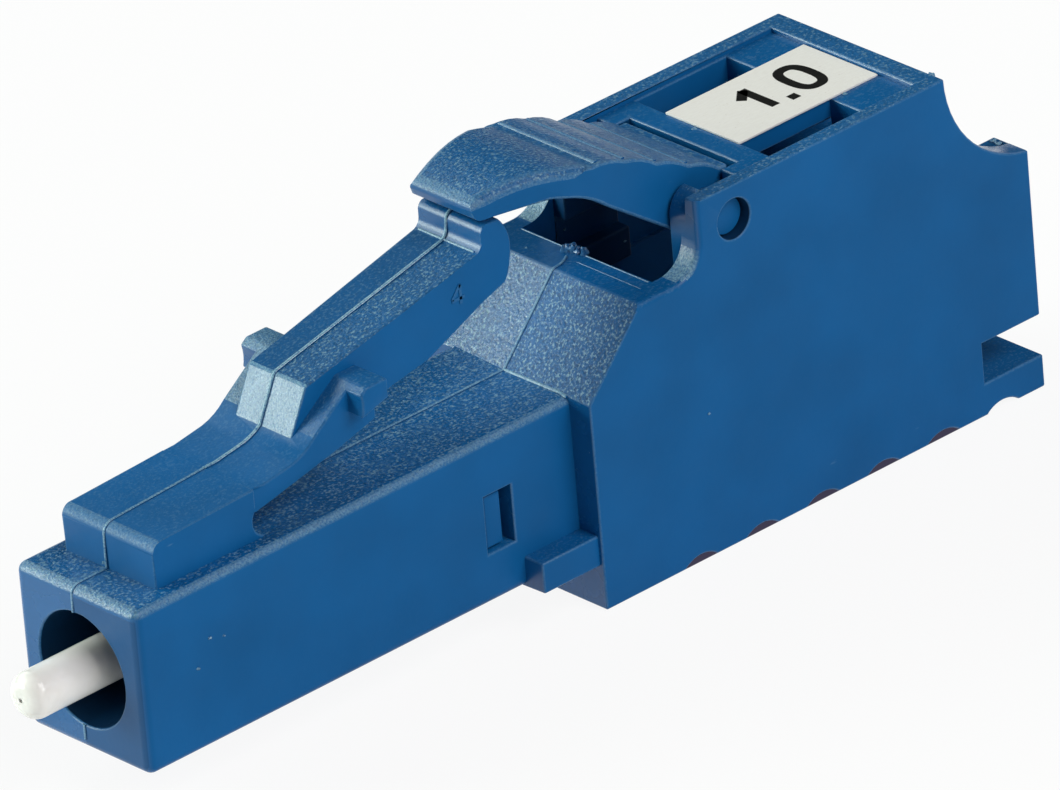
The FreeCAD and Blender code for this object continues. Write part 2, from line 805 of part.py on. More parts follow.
def make_sleeve_holder():
    """Insert that snaps into the plug, backs the spring and carries the split sleeve."""
    c = cell
    body = new_body("sleeve_holder")
    outside = [
        (c["holder_front"], 0),
        (c["holder_rear"], 0),
        (c["holder_rear"], c["holder_tube"] / 2),
        (c["holder_disc_rear"], c["holder_tube"] / 2),
        (c["holder_disc_rear"], c["holder_disc"] / 2),
        (c["port_end"], c["holder_disc"] / 2),
        (c["port_end"], c["holder_body"] / 2),
        (c["holder_front"], c["holder_body"] / 2),
    ]
    turned(body, "Revolution", "holder", outside)
    snap_front = c["side_window_front"] + c["snap_clearance"]
    snap_low = c["side_window_low"] + c["snap_clearance"]
    snap_top = snap_low + c["side_window_height"] - c["snap_clearance"] * 2
    snaps = box_outline(snap_front, snap_front + c["snap_length"], snap_low, snap_top)
    side_pad(body, "snaps", snaps, c["snap_span"])
    lip = c["holder_lip_bore"] / 2
    bore = c["holder_bore"] / 2
    rear_lip = c["holder_rear"] - c["holder_lip"]
    front_lip = c["holder_front"] + c["holder_lip"]
    inside = [
        (c["holder_front"] - c["wall"], 0),
        (c["holder_rear"] + c["wall"], 0),
        (c["holder_rear"] + c["wall"], lip),
        (rear_lip, lip),
        (rear_lip, bore),
        (front_lip, bore),
        (front_lip, lip),
        (c["holder_front"] - c["wall"], lip),
    ]
    turned(body, "Groove", "sleeve_seat", inside)
    return body


def make_split_sleeve():
    """Slit ceramic tube that lines up the stub and the mating ferrule."""
    c = cell
    body = new_body("split_sleeve")
    front = c["holder_front"] + c["holder_lip"] + c["sleeve_play"]
    rear = c["holder_rear"] - c["holder_lip"] - c["sleeve_play"]
    section = box_outline(front, rear, c["sleeve_bore"] / 2, c["sleeve_outer"] / 2)
    turned(body, "Revolution", "tube", section)
    slit = box_outline(front - c["wall"], rear + c["wall"], axis_height, axis_height + c["sleeve_outer"])
    side_cut(body, "slit", slit, c["sleeve_slit"])
    return body


def make_label():
    """Printed strip on the panel's centre bar."""
    c = cell
    body = new_body("label")
    outline = box_outline(c["label_front"], c["label_front"] + c["label_length"],
                          panel_top, panel_top + c["label_thickness"])
    side_pad(body, "strip", outline, c["label_width"])
    return body


MAKERS = [
    make_housing,
    make_latch_arm,
    make_trigger_lever,
    make_ferrule,
    make_attenuating_fibre,
    make_ferrule_flange,
    make_spring,
    make_sleeve_holder,
    make_split_sleeve,
    make_label,
]
sub_parts = [make() for make in MAKERS]
doc.recompute()

for item in doc.Objects:
    if "Invalid" in item.State or "Error" in item.State:
        raise RuntimeError("%s failed: %s" % (item.Name, item.State))
for item in sub_parts:
    if item.Shape.isNull() or not item.Shape.isValid():
        raise RuntimeError("%s has no valid shape" % item.Label)

os.makedirs("parts", exist_ok=True)
for item in sub_parts:
    item.Shape.exportStep("parts/%s.step" % item.Label)
    print(item.Label, len(item.Shape.Solids), round(item.Shape.Volume, 3), item.Shape.BoundBox)
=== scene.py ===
"""Plug-in fibre attenuator: satin blue mouldings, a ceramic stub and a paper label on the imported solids."""

import logging
import math
from dataclasses import dataclass
from enum import Enum
from typing import Any, Optional

import bmesh
import bpy
import numpy as np
from mathutils import Matrix, Vector
from mathutils.bvhtree import BVHTree


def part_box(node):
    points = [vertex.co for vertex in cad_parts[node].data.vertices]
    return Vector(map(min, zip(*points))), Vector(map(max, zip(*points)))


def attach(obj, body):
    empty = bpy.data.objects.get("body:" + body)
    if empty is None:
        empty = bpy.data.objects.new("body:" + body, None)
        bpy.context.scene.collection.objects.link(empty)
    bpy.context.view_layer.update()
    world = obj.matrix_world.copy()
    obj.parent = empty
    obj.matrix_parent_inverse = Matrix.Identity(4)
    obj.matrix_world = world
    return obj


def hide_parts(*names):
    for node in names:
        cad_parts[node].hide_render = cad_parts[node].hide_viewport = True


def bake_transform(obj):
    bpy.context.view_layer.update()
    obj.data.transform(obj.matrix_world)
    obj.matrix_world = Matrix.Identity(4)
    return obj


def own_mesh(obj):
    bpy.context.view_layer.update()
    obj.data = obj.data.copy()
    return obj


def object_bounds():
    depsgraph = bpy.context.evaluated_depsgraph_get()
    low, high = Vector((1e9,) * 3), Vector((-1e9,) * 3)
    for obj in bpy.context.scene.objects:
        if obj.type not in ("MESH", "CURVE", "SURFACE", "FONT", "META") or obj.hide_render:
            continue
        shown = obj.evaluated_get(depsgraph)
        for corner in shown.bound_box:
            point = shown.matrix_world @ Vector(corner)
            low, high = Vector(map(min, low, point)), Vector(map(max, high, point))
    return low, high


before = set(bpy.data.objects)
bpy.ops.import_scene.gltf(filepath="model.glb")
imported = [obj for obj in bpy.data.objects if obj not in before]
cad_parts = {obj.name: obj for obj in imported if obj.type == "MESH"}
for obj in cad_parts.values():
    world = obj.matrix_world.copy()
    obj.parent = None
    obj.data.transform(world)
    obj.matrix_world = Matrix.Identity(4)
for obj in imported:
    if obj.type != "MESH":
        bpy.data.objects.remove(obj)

CAD_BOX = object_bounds()
MM = 0.001
WELD = 0.001 * MM
FLAT_TURN = math.radians(1.5)
SHARP_TURN = math.radians(40.0)
LOG = logging.getLogger("attenuator")

Colour = tuple[float, float, float]
Point = tuple[float, float, float]
Span = tuple[float, float]
WHITE: Colour = (1.0, 1.0, 1.0)
COOL_WHITE: Colour = (0.89, 1.0, 0.92)
NOISE_BAND: Span = (0.3, 0.7)
# Z of a normal from level to upward, Y from upright to sideward, and Y that looks to the near side
UPWARD_BAND: Span = (0.18, 0.50)
SIDEWARD_BAND: Span = (0.5, 0.9)
NEAR_SIDE = -0.8


class Body(str, Enum):
    """The rigid bodies that a piece can ride on."""

    HOUSING = "housing"
    LATCH = "latch"
    TRIGGER = "trigger"
    STUB = "stub"


class Slot(str, Enum):
    """The record's material slots."""

    BLUE = "blue_plastic"
    CERAMIC = "white_ceramic"
    METAL = "plated_metal"
    WIRE = "spring_steel"
    PAPER = "label_paper"


@dataclass(frozen=True)
class Datum:
    """Places in millimetres from the plug's nose face, the mid plane and the underside.

    Attributes:
        nose: X of the plug's nose face in the shared frame, in metres.
    """

    nose: float

    @classmethod
    def from_frame(cls) -> "Datum":
        """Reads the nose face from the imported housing."""
        return cls(nose=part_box("housing")[0][0])

    def x(self, station: float) -> float:
        """Station along the plug, as X in metres."""
        return self.nose + station * MM

    def at(self, station: float, side: float, height: float) -> Point:
        """A place given in millimetres, as a point of the shared frame in metres."""
        return (self.x(station), side * MM, height * MM)


DATUM = Datum.from_frame()


@dataclass(frozen=True)
class Lumps:
    """Soft noise with lumps of one size.

    Attributes:
        size: width of a lump, in metres.
        detail: number of finer layers.
        stretch: how many times longer the lumps are along each axis.
    """

    size: float
    detail: float = 2.0
    stretch: Point = (1.0, 1.0, 1.0)


class NodeBoard:
    """A material's node tree, with short calls to add nodes and join them."""

    def __init__(self, name: str) -> None:
        """Starts an empty material.

        Args:
            name: name of the material.
        """
        self.material = bpy.data.materials.new(name)
        self.material.use_nodes = True
        self.tree = self.material.node_tree
        self.tree.nodes.clear()
        self.output = self.add("ShaderNodeOutputMaterial")
        self.places: Optional[bpy.types.NodeSocket] = None

    def add(self, kind: str, inputs: Optional[dict[str, Any]] = None, **settings: Any) -> bpy.types.Node:
        """Adds a node.

        Args:
            kind: Blender's name for the node type.
            inputs: values or output sockets for the node's inputs, by name or index.
            settings: attributes of the node itself.

        Returns:
            The new node.
        """
        node = self.tree.nodes.new(kind)
        for name, value in settings.items():
            setattr(node, name, value)
        for name, value in (inputs or {}).items():
            if isinstance(value, bpy.types.NodeSocket):
                self.tree.links.new(value, node.inputs[name])
            else:
                node.inputs[name].default_value = value
        return node

    def coordinates(self) -> bpy.types.NodeSocket:
        """Object coordinates, from one node that all patterns share.

        Returns:
            The coordinates, in metres of the shared frame.
        """
        if self.places is None:
            self.places = self.add("ShaderNodeTexCoord").outputs["Object"]
        return self.places

    def noise(self, lumps: Lumps) -> bpy.types.NodeSocket:
        """Soft noise on the object's coordinates.

        Args:
            lumps: size, detail and stretch of the noise.

        Returns:
            The noise, from 0 to 1.
        """
        scale = tuple(1.0 / (lumps.size * part) for part in lumps.stretch)
        mapping = self.add("ShaderNodeMapping", {"Vector": self.coordinates(), "Scale": scale})
        inputs = {"Vector": mapping.outputs["Vector"], "Scale": 1.0, "Detail": lumps.detail}
        return self.add("ShaderNodeTexNoise", inputs).outputs["Fac"]

    def attribute(self, name: str) -> bpy.types.NodeSocket:
        """A number painted on the piece's faces."""
        return self.add("ShaderNodeAttribute", attribute_name=name).outputs["Fac"]

    def between(self, value: bpy.types.NodeSocket, low: float, high: float, start: float = 0.0,
                end: float = 1.0) -> bpy.types.NodeSocket:
        """Maps a range of a value to another range, and holds it at the ends.

        Args:
            value: the socket to read.
            low: value that becomes start.
            high: value that becomes end.
            start: result at low.
            end: result at high.

        Returns:
            The mapped value.
        """
        ends = {"Value": value, "From Min": low, "From Max": high, "To Min": start, "To Max": end}
        return self.add("ShaderNodeMapRange", ends).outputs["Result"]

    def spread(self, noise: bpy.types.NodeSocket, start: float = 0.0,
               end: float = 1.0) -> bpy.types.NodeSocket:
        """Spreads the band that a noise mostly keeps to over a range."""
        return self.between(noise, *NOISE_BAND, start, end)

    def math(self, kind: str, first: Any, second: Any) -> bpy.types.NodeSocket:
        """Joins two values by one sum, such as ADD or MULTIPLY."""
        return self.add("ShaderNodeMath", {0: first, 1: second}, operation=kind).outputs["Value"]

    def mix(self, share: Any, first: Any, second: Any) -> bpy.types.NodeSocket:
        """Mixes two colours.

        Args:
            share: share of the second colour, from 0 to 1.
            first: value or socket of the first colour.
            second: value or socket of the second colour.

        Returns:
            The mixed colour.
        """
        node = self.add("ShaderNodeMix", data_type="RGBA")
        for socket, value in ((node.inputs[0], share), (node.inputs[6], first), (node.inputs[7], second)):
            if isinstance(value, bpy.types.NodeSocket):
                self.tree.links.new(value, socket)
            else:
                socket.default_value = value
        return node.outputs[2]

    def bump(self, height: bpy.types.NodeSocket, depth: float) -> bpy.types.NodeSocket:
        """Turns a height from 0 to 1 into a bumped normal of a real depth, in metres."""
        return self.add("ShaderNodeBump", {"Height": height, "Distance": depth}).outputs["Normal"]

    def principled(self, inputs: dict[str, Any]) -> bpy.types.Material:
        """Closes the board with a principled shader.

        Args:
            inputs: values or sockets for the shader's inputs.

        Returns:
            The finished material.
        """
        shader = self.add("ShaderNodeBsdfPrincipled", inputs)
        self.tree.links.new(shader.outputs["BSDF"], self.output.inputs["Surface"])
        return self.material


def opaque(colour: Colour) -> tuple[float, float, float, float]:
    """A colour with full alpha, as node sockets take it."""
    return (*colour, 1.0)


@dataclass(frozen=True)
class MouldedPlastic:
    """Satin blue plastic: smooth where the tool was polished, grainy where it was eroded.

    Attributes:
        colour: colour of the plastic.
        pale: colour of worn edges and scuffs, and of the painted glints, painted sheen and painted
            highlights.
        painted_shade: colour of the painted shade beside the parting lines and in shaded places.
        smooth: lowest and highest roughness of the glossy faces.
        matt: how much rougher the sides are.
        specular: strength of the reflections on the sides and on the glossy faces.
        tones: darkest and lightest value of its clouds.
        pit_shade: how much darker the grain's pits are painted, a painted shade in them.
        glint: how pale the grain's painted glints are.
        wear_and_sheen_span: least and most paleness of a worn face and of the painted sheen.
        scuff: how pale its scuffs are.
        peel: depth of the smooth faces' ripples, as a share of the grain's.
        grain_depth: depth of the grain, in metres.
        grains: noise of the eroded faces.
        clouds: noise of the gloss.
        tints: noise of the colour.
        ripples: noise of the smooth faces.
        flecks: noise of the painted glints.
        wear_and_sheen_lumps: noise of the worn faces and of the painted sheen.
        scratches: noise of the scuffs.
        tint_band: tints that get the darkest and the lightest value.
        pit_band: grains at the bottom and at the rim of a pit.
        fleck_band: flecks that give no painted glint and a full one.
        scratch_band: scratches that give no scuff and a full one.
    """

    colour: Colour = (0.004, 0.097, 0.280)
    pale: Colour = (0.25, 0.43, 0.52)
    painted_shade: Colour = (0.002, 0.010, 0.030)
    smooth: Span = (0.21, 0.30)
    matt: float = 0.19
    specular: Span = (0.10, 0.5)
    tones: Span = (0.88, 1.12)
    pit_shade: float = 0.45
    glint: float = 0.70
    wear_and_sheen_span: Span = (0.10, 0.75)
    scuff: float = 0.30
    peel: float = 0.10
    grain_depth: float = 0.034 * MM
    grains: Lumps = Lumps(0.08 * MM, 3.0)
    clouds: Lumps = Lumps(0.9 * MM, 3.0)
    tints: Lumps = Lumps(2.6 * MM, 4.0)
    ripples: Lumps = Lumps(0.20 * MM)
    flecks: Lumps = Lumps(0.07 * MM, stretch=(1.3, 1.0, 1.0))
    wear_and_sheen_lumps: Lumps = Lumps(0.05 * MM)
    scratches: Lumps = Lumps(0.10 * MM, stretch=(9.0, 1.0, 2.5))
    tint_band: Span = (0.25, 0.75)
    pit_band: Span = (0.30, 0.55)
    fleck_band: Span = (0.52, 0.68)
    scratch_band: Span = (0.76, 0.84)

    def material(self) -> bpy.types.Material:
        """Builds the finish from the painted amounts of grain, of paleness for worn faces and painted sheen,
        of painted shade, and of gloss.

        Returns:
            The material.
        """
        board = NodeBoard("moulded_blue")
        grain, wear_and_sheen, painted_shade, gloss = (board.attribute(name) for name in ("grain", "wear_and_sheen", "painted_shade", "gloss"))
        lumps = board.noise(self.grains)
        colour = self.colouring(board, lumps, grain, wear_and_sheen, painted_shade)
        cloudy = board.spread(board.noise(self.clouds), *self.smooth)
        rough = board.math("ADD", cloudy, board.between(gloss, 0.0, 1.0, self.matt, 0.0))
        ripples = board.math("MULTIPLY", board.noise(self.ripples), self.peel)
        height = board.math("ADD", ripples, board.math("MULTIPLY", lumps, grain))
        return board.principled({
            "Base Color": colour,
            "Roughness": rough,
            "Specular IOR Level": board.between(gloss, 0.0, 1.0, *self.specular),
            "Normal": board.bump(height, self.grain_depth),
        })

    def colouring(self, board: NodeBoard, lumps: bpy.types.NodeSocket, grain: bpy.types.NodeSocket,
                  wear_and_sheen: bpy.types.NodeSocket, painted_shade: bpy.types.NodeSocket) -> bpy.types.NodeSocket:
        """Mixes the colour: cloudy blue with painted shade in the grain's pits, pale marks of worn faces,
        scuffs, painted glints and painted sheen on it, and painted shade over both.

        Args:
            board: the material's board.
            lumps: noise of the grain.
            grain: painted depth of the grain.
            wear_and_sheen: painted share of worn paleness and painted sheen.
            painted_shade: painted share of painted shade.

        Returns:
            The colour.
        """
        tone = board.between(board.noise(self.tints), *self.tint_band, *self.tones)
        # painted shade in the pits of the grain
        pits = board.math("MULTIPLY", board.between(lumps, *self.pit_band, self.pit_shade, 0.0), grain)
        value = board.math("SUBTRACT", tone, pits)
        base = board.add("ShaderNodeHueSaturation", {"Color": opaque(self.colour), "Value": value})
        # painted glints: pale flecks on the grain that stand for highlights
        flecks = board.between(board.noise(self.flecks), *self.fleck_band, 0.0, self.glint)
        glints = board.math("MULTIPLY", flecks, grain)
        # pale where faces are worn, and painted sheen and painted highlights
        wear_and_sheen_marks = board.math("MULTIPLY", board.spread(board.noise(self.wear_and_sheen_lumps), *self.wear_and_sheen_span), wear_and_sheen)
        scuffed = board.between(board.noise(self.scratches), *self.scratch_band, 0.0, self.scuff)
        marks = board.math("MAXIMUM", board.math("MAXIMUM", glints, wear_and_sheen_marks), scuffed)
        marked = board.mix(marks, base.outputs["Color"], opaque(self.pale))
        # painted shade over everything
        return board.mix(painted_shade, marked, opaque(self.painted_shade))


@dataclass(frozen=True)
class PolishedCeramic:
    """Ground zirconia: warm white, faintly cloudy, a little translucent.

    Attributes:
        colour: colour of the ceramic.
        shade: colour of its faint clouds.
        roughness: lowest and highest roughness.
        glow: how far light spreads under its skin, in metres.
        glow_share: share of the light that does.
        glow_tint: how far each colour of it spreads.
        clouds: noise of the colour.
        marks: noise of the grinding marks.
        mark_depth: depth of the marks, in metres.
    """

    colour: Colour = (0.89, 0.855, 0.835)
    shade: Colour = (0.84, 0.81, 0.78)
    roughness: Span = (0.14, 0.20)
    glow: float = 0.30 * MM
    glow_share: float = 0.3
    glow_tint: Colour = (1.0, 0.95, 0.9)
    clouds: Lumps = Lumps(0.5 * MM, 3.0)
    marks: Lumps = Lumps(0.02 * MM, stretch=(1.0, 12.0, 12.0))
    mark_depth: float = 0.0006 * MM

    def material(self) -> bpy.types.Material:
        """Builds the finish with fine grinding marks around the stub.

        Returns:
            The material.
        """
        board = NodeBoard("polished_ceramic")
        clouds = board.spread(board.noise(self.clouds))
        marks = board.noise(self.marks)
        return board.principled({
            "Base Color": board.mix(clouds, opaque(self.colour), opaque(self.shade)),
            "Roughness": board.spread(marks, *self.roughness),
            "Subsurface Weight": self.glow_share,
            "Subsurface Radius": self.glow_tint,
            "Subsurface Scale": self.glow,
            "Normal": board.bump(marks, self.mark_depth),
        })


@dataclass(frozen=True)
class LabelStock:
    """Matt paper strip with short fibres and a little dust.

    Attributes:
        colour: colour of the paper.
        dust: colour of the dust and fibres in it.
        roughness: lowest and highest roughness.
        fibres: noise of the fibres.
        specks: noise of the dust.
        fibre_depth: depth of the fibres, in metres.
        speck_band: specks that give no dust and the most.
        dustiness: how strong the most dust is.
        streak_band: fibres that give no streak and the strongest.
        streakiness: how strong that streak is.
    """

    colour: Colour = (0.80, 0.775, 0.745)
    dust: Colour = (0.60, 0.55, 0.50)
    roughness: Span = (0.5, 0.62)
    fibres: Lumps = Lumps(0.05 * MM, 3.0, (4.0, 1.0, 1.0))
    specks: Lumps = Lumps(0.07 * MM)
    fibre_depth: float = 0.003 * MM
    speck_band: Span = (0.68, 0.78)
    dustiness: float = 0.7
    streak_band: Span = (0.35, 0.75)
    streakiness: float = 0.18

    def material(self) -> bpy.types.Material:
        """Builds the finish.

        Returns:
            The material.
        """
        board = NodeBoard("label_stock")
        fibres = board.noise(self.fibres)
        dusty = board.between(board.noise(self.specks), *self.speck_band, 0.0, self.dustiness)
        streaks = board.between(fibres, *self.streak_band, 0.0, self.streakiness)
        paper = board.mix(streaks, opaque(self.colour), opaque(self.dust))
        return board.principled({
            "Base Color": board.mix(dusty, paper, opaque(self.dust)),
            "Roughness": board.spread(fibres, *self.roughness),
            "Normal": board.bump(fibres, self.fibre_depth),
        })


@dataclass(frozen=True)
class PrintedInk:
    """Black print that lies a little unevenly on the paper.

    Attributes:
        colour: colour of the ink.
        thin: colour where the ink is thin.
        roughness: lowest and highest roughness.
        patches: noise of its thickness.
        thin_band: patches where the ink begins to be thin and where it is thinnest.
        specular: strength of its reflections.
    """

    colour: Colour = (0.002, 0.002, 0.002)
    thin: Colour = (0.010, 0.008, 0.007)
    roughness: Span = (0.5, 0.6)
    patches: Lumps = Lumps(0.09 * MM, 3.0)
    thin_band: Span = (0.45, 0.7)
    specular: float = 0.2

    def material(self) -> bpy.types.Material:
        """Builds the finish.

        Returns:
            The material.
        """
        board = NodeBoard("printed_ink")
        patches = board.noise(self.patches)
        faded = board.between(patches, *self.thin_band)
        return board.principled({
            "Base Color": board.mix(faded, opaque(self.colour), opaque(self.thin)),
            "Roughness": board.spread(patches, *self.roughness),
            "Specular IOR Level": self.specular,
        })


@dataclass(frozen=True)
class TurnedMetal:
    """Metal with fine marks around the ferrule's axis.

    Attributes:
        name: name of the material.
        colour: colour of the metal.
        shade: colour of its duller bands.
        roughness: lowest and highest roughness.
        bands: noise of the marks.
        band_depth: depth of the marks, in metres.
    """

    name: str
    colour: Colour
    shade: Colour
    roughness: Span
    bands: Lumps = Lumps(0.03 * MM, 3.0, (1.0, 20.0, 20.0))
    band_depth: float = 0.0008 * MM

    def material(self) -> bpy.types.Material:
        """Builds the finish.

        Returns:
            The material.
        """
        board = NodeBoard(self.name)
        bands = board.noise(self.bands)
        return board.principled({
            "Base Color": board.mix(bands, opaque(self.colour), opaque(self.shade)),
            "Metallic": 1.0,
            "Roughness": board.spread(bands, *self.roughness),
            "Normal": board.bump(bands, self.band_depth),
        })


@dataclass(frozen=True)
class FibreGlass:
    """Doped glass fibre, milky at its polished end.

    Attributes:
        colour: colour of the glass.
        roughness: lowest and highest roughness.
        index: how strongly it bends light.
        haze: noise of its polish.
    """

    colour: Colour = (0.78, 0.77, 0.75)
    roughness: Span = (0.10, 0.18)
    index: float = 1.46
    haze: Lumps = Lumps(0.04 * MM)

    def material(self) -> bpy.types.Material:
        """Builds the finish.

        Returns:
            The material.
        """
        board = NodeBoard("fibre_glass")
        return board.principled({
            "Base Color": opaque(self.colour),
            "IOR": self.index,
            "Roughness": board.spread(board.noise(self.haze), *self.roughness),
        })


class Finishes:
    """One material of each finish, shared by all pieces."""

    def __init__(self) -> None:
        """Builds every finish once."""
        self.blue = MouldedPlastic().material()
        self.ceramic = PolishedCeramic().material()
        self.paper = LabelStock().material()
        self.ink = PrintedInk().material()
        plated = TurnedMetal("plated_brass", (0.70, 0.67, 0.60), (0.52, 0.49, 0.43), (0.22, 0.36))
        wire = TurnedMetal("spring_wire", (0.58, 0.58, 0.60), (0.40, 0.40, 0.42), (0.26, 0.40))
        self.plated = plated.material()
        self.wire = wire.material()
        self.glass = FibreGlass().material()


@dataclass(frozen=True)
class Zone:
    """Box around a part of a moulding.

    Attributes:
        low: lowest station, side and height, in millimetres.
        high: highest station, side and height, in millimetres.
    """

    low: Point
    high: Point

    def holds(self, places: np.ndarray) -> np.ndarray:
        """Tells which of the places lie in the box."""
        low, high = (np.array(DATUM.at(*corner)) for corner in (self.low, self.high))
        return np.all((places >= low) & (places <= high), axis=1)


@dataclass(frozen=True)
class SkinPatch(Zone):
    """Zone whose faces share one finish.

    Attributes:
        grain: depth of the grain on its upward faces, from 0 to 1.
        painted_sheen: how pale its upward faces are painted, a painted sheen; 1 is a full sheen.
        gloss: share of the gloss that its faces keep.
        painted_shade: how dark its faces are painted, a painted shade, from 0 to 1.
    """

    grain: float = 0.0
    painted_sheen: float = 0.0
    gloss: float = 1.0
    painted_shade: float = 0.0


@dataclass(frozen=True)
class EdgeBreak:
    """How the edges of a moulding are rounded.

    Attributes:
        radius: size of the rounding, in metres.
        steps: faces across it.
        wear_and_sheen: how pale the rounding is painted, for worn edges and a painted highlight, from 0 to 1.
        least_turn: smallest turn between two faces that makes an edge, in radians.
        spared: zones whose edges stay sharp.
    """

    radius: float
    steps: int = 3
    wear_and_sheen: float = 0.0
    least_turn: float = math.radians(32.0)
    spared: tuple[Zone, ...] = ()


def linked(name: str, data: bpy.types.ID) -> bpy.types.Object:
    """Puts a mesh, a lamp or a camera into the scene as an object at the origin.

    Args:
        name: name of the object.
        data: the mesh, lamp or camera.

    Returns:
        The object.
    """
    piece = bpy.data.objects.new(name, data)
    bpy.context.scene.collection.objects.link(piece)
    return piece


def vertex_places(mesh: bpy.types.Mesh) -> np.ndarray:
    """Reads the places of all vertices of a mesh.

    Args:
        mesh: the mesh.

    Returns:
        The places, one per row.
    """
    places = np.empty(len(mesh.vertices) * 3)
    mesh.vertices.foreach_get("co", places)
    return places.reshape(-1, 3)


def move_vertices(mesh: bpy.types.Mesh, places: np.ndarray) -> None:
    """Writes new places for all vertices of a mesh."""
    mesh.vertices.foreach_set("co", places.ravel())
    mesh.update()


def welded_copy(node: str, name: str, parting: Optional[float] = None) -> bpy.types.Object:
    """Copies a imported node, welds its loose triangles and joins those that lie in one plane.

    Args:
        node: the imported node.
        name: name of the copy.
        parting: side in millimetres of the upright plane that divides its faces, if any.

    Returns:
        The copy, at the origin as the node is.
    """
    work = bmesh.new()
    work.from_mesh(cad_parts[node].data)
    bmesh.ops.remove_doubles(work, verts=work.verts, dist=WELD)
    bmesh.ops.dissolve_limit(work, angle_limit=FLAT_TURN, verts=work.verts, edges=work.edges)
    if parting is not None:
        everything = [*work.verts, *work.edges, *work.faces]
        middle = Vector((0.0, parting * MM, 0.0))
        bmesh.ops.bisect_plane(work, geom=everything, plane_co=middle, plane_no=(0.0, 1.0, 0.0))
    mesh = bpy.data.meshes.new(name)
    work.to_mesh(mesh)
    work.free()
    shaded = mesh.attributes.get("custom_normal")
    if shaded:
        mesh.attributes.remove(shaded)
    return linked(name, mesh)


def break_edges(piece: bpy.types.Object, edge: EdgeBreak) -> None:
    """Rounds the outer edges of a piece for good, and paints the rounded strips pale, for worn edges and a
    painted highlight.

    Faces too slim for the rounding keep their edges.

    Args:
        piece: the piece, whose mesh is changed.
        edge: how its edges are rounded.
    """
    work = bmesh.new()
    work.from_mesh(piece.data)
    wear_and_sheen = work.faces.layers.float.new("wear_and_sheen")
    slim = {face for face in work.faces
            if face.calc_area() < edge.radius * max(each.calc_length() for each in face.edges)}
    outer = [each for each in work.edges
             if each.calc_face_angle_signed(0.0) > edge.least_turn and slim.isdisjoint(each.link_faces)]
    middles = np.array([(each.verts[0].co + each.verts[1].co) / 2.0 for each in outer])
    sharp = np.zeros(len(outer), dtype=bool)
    for zone in edge.spared:
        sharp |= zone.holds(middles)
    rounded = [each for each, kept in zip(outer, sharp) if not kept]
    made = bmesh.ops.bevel(work, geom=rounded, offset=edge.radius, offset_type="OFFSET", affect="EDGES",
                           segments=edge.steps, profile=0.5, clamp_overlap=False, material=-1)
    for strip in made["faces"]:
        strip[wear_and_sheen] = edge.wear_and_sheen
    work.to_mesh(piece.data)
    work.free()


def paint_faces(mesh: bpy.types.Mesh, name: str, amounts: np.ndarray | float) -> None:
    """Paints a number on every face of a mesh.

    Args:
        mesh: the mesh.
        name: name that the finishes read.
        amounts: one number for each face, or one for all.
    """
    layer = mesh.attributes.get(name) or mesh.attributes.new(name, "FLOAT", "FACE")
    layer.data.foreach_set("value", np.full(len(mesh.polygons), amounts, dtype=np.float32))


def face_vectors(mesh: bpy.types.Mesh, name: str) -> np.ndarray:
    """Reads a vector of every face of a mesh.

    Args:
        mesh: the mesh.
        name: Blender's name for the vector, such as normal or center.

    Returns:
        The vectors, one per row.
    """
    vectors = np.empty(len(mesh.polygons) * 3, dtype=np.float32)
    mesh.polygons.foreach_get(name, vectors)
    return vectors.reshape(-1, 3)


def ramp(values: np.ndarray, low: float, high: float) -> np.ndarray:
    """Share of the way from low to high, held at 0 and 1."""
    return np.clip((values - low) / (high - low), 0.0, 1.0)


def round_angles(count: int) -> np.ndarray:
    """Even angles round a circle."""
    return np.linspace(0.0, 2.0 * math.pi, count, endpoint=False)


def paint_moulding(mesh: bpy.types.Mesh, common: float, patches: tuple[SkinPatch, ...] = ()) -> None:
    """Paints grain and painted sheen on the faces that look upwards, gloss on all but the sides, and painted
    shade.

    Args:
        mesh: the mesh, with its broken edges painted pale, for worn edges and a painted highlight.
        common: depth of the grain outside the patches.
        patches: parts with a finish of their own.
    """
    normals, centres = face_vectors(mesh, "normal"), face_vectors(mesh, "center")
    upward = ramp(normals[:, 2], *UPWARD_BAND)
    gloss = 1.0 - ramp(np.abs(normals[:, 1]), *SIDEWARD_BAND)
    wear_and_sheen = np.empty(len(normals), dtype=np.float32)
    mesh.attributes["wear_and_sheen"].data.foreach_get("value", wear_and_sheen)
    grain = np.full(len(normals), common)
    painted_shade = np.zeros(len(normals))
    for patch in patches:
        inside = patch.holds(centres)
        grain[inside] = patch.grain
        # a patch's painted shade, and painted sheen on its upward faces
        painted_shade[inside] = patch.painted_shade
        gloss[inside] *= patch.gloss
        wear_and_sheen[inside] = np.maximum(wear_and_sheen, patch.painted_sheen * upward)[inside]
    paint_faces(mesh, "grain", grain * upward)
    paint_faces(mesh, "gloss", gloss)
    paint_faces(mesh, "wear_and_sheen", wear_and_sheen)
    paint_faces(mesh, "painted_shade", painted_shade)


def shade(piece: bpy.types.Object, material: bpy.types.Material) -> None:
    """Gives a piece its material, smooth faces and normals that keep flat faces flat.

    Args:
        piece: the piece.
        material: its material.
    """
    mesh = piece.data
    mesh.materials.append(material)
    mesh.polygons.foreach_set("use_smooth", np.ones(len(mesh.polygons), dtype=bool))
    mesh.set_sharp_from_angle(angle=SHARP_TURN)
    level = piece.modifiers.new("flat_faces", "WEIGHTED_NORMAL")
    level.keep_sharp = True


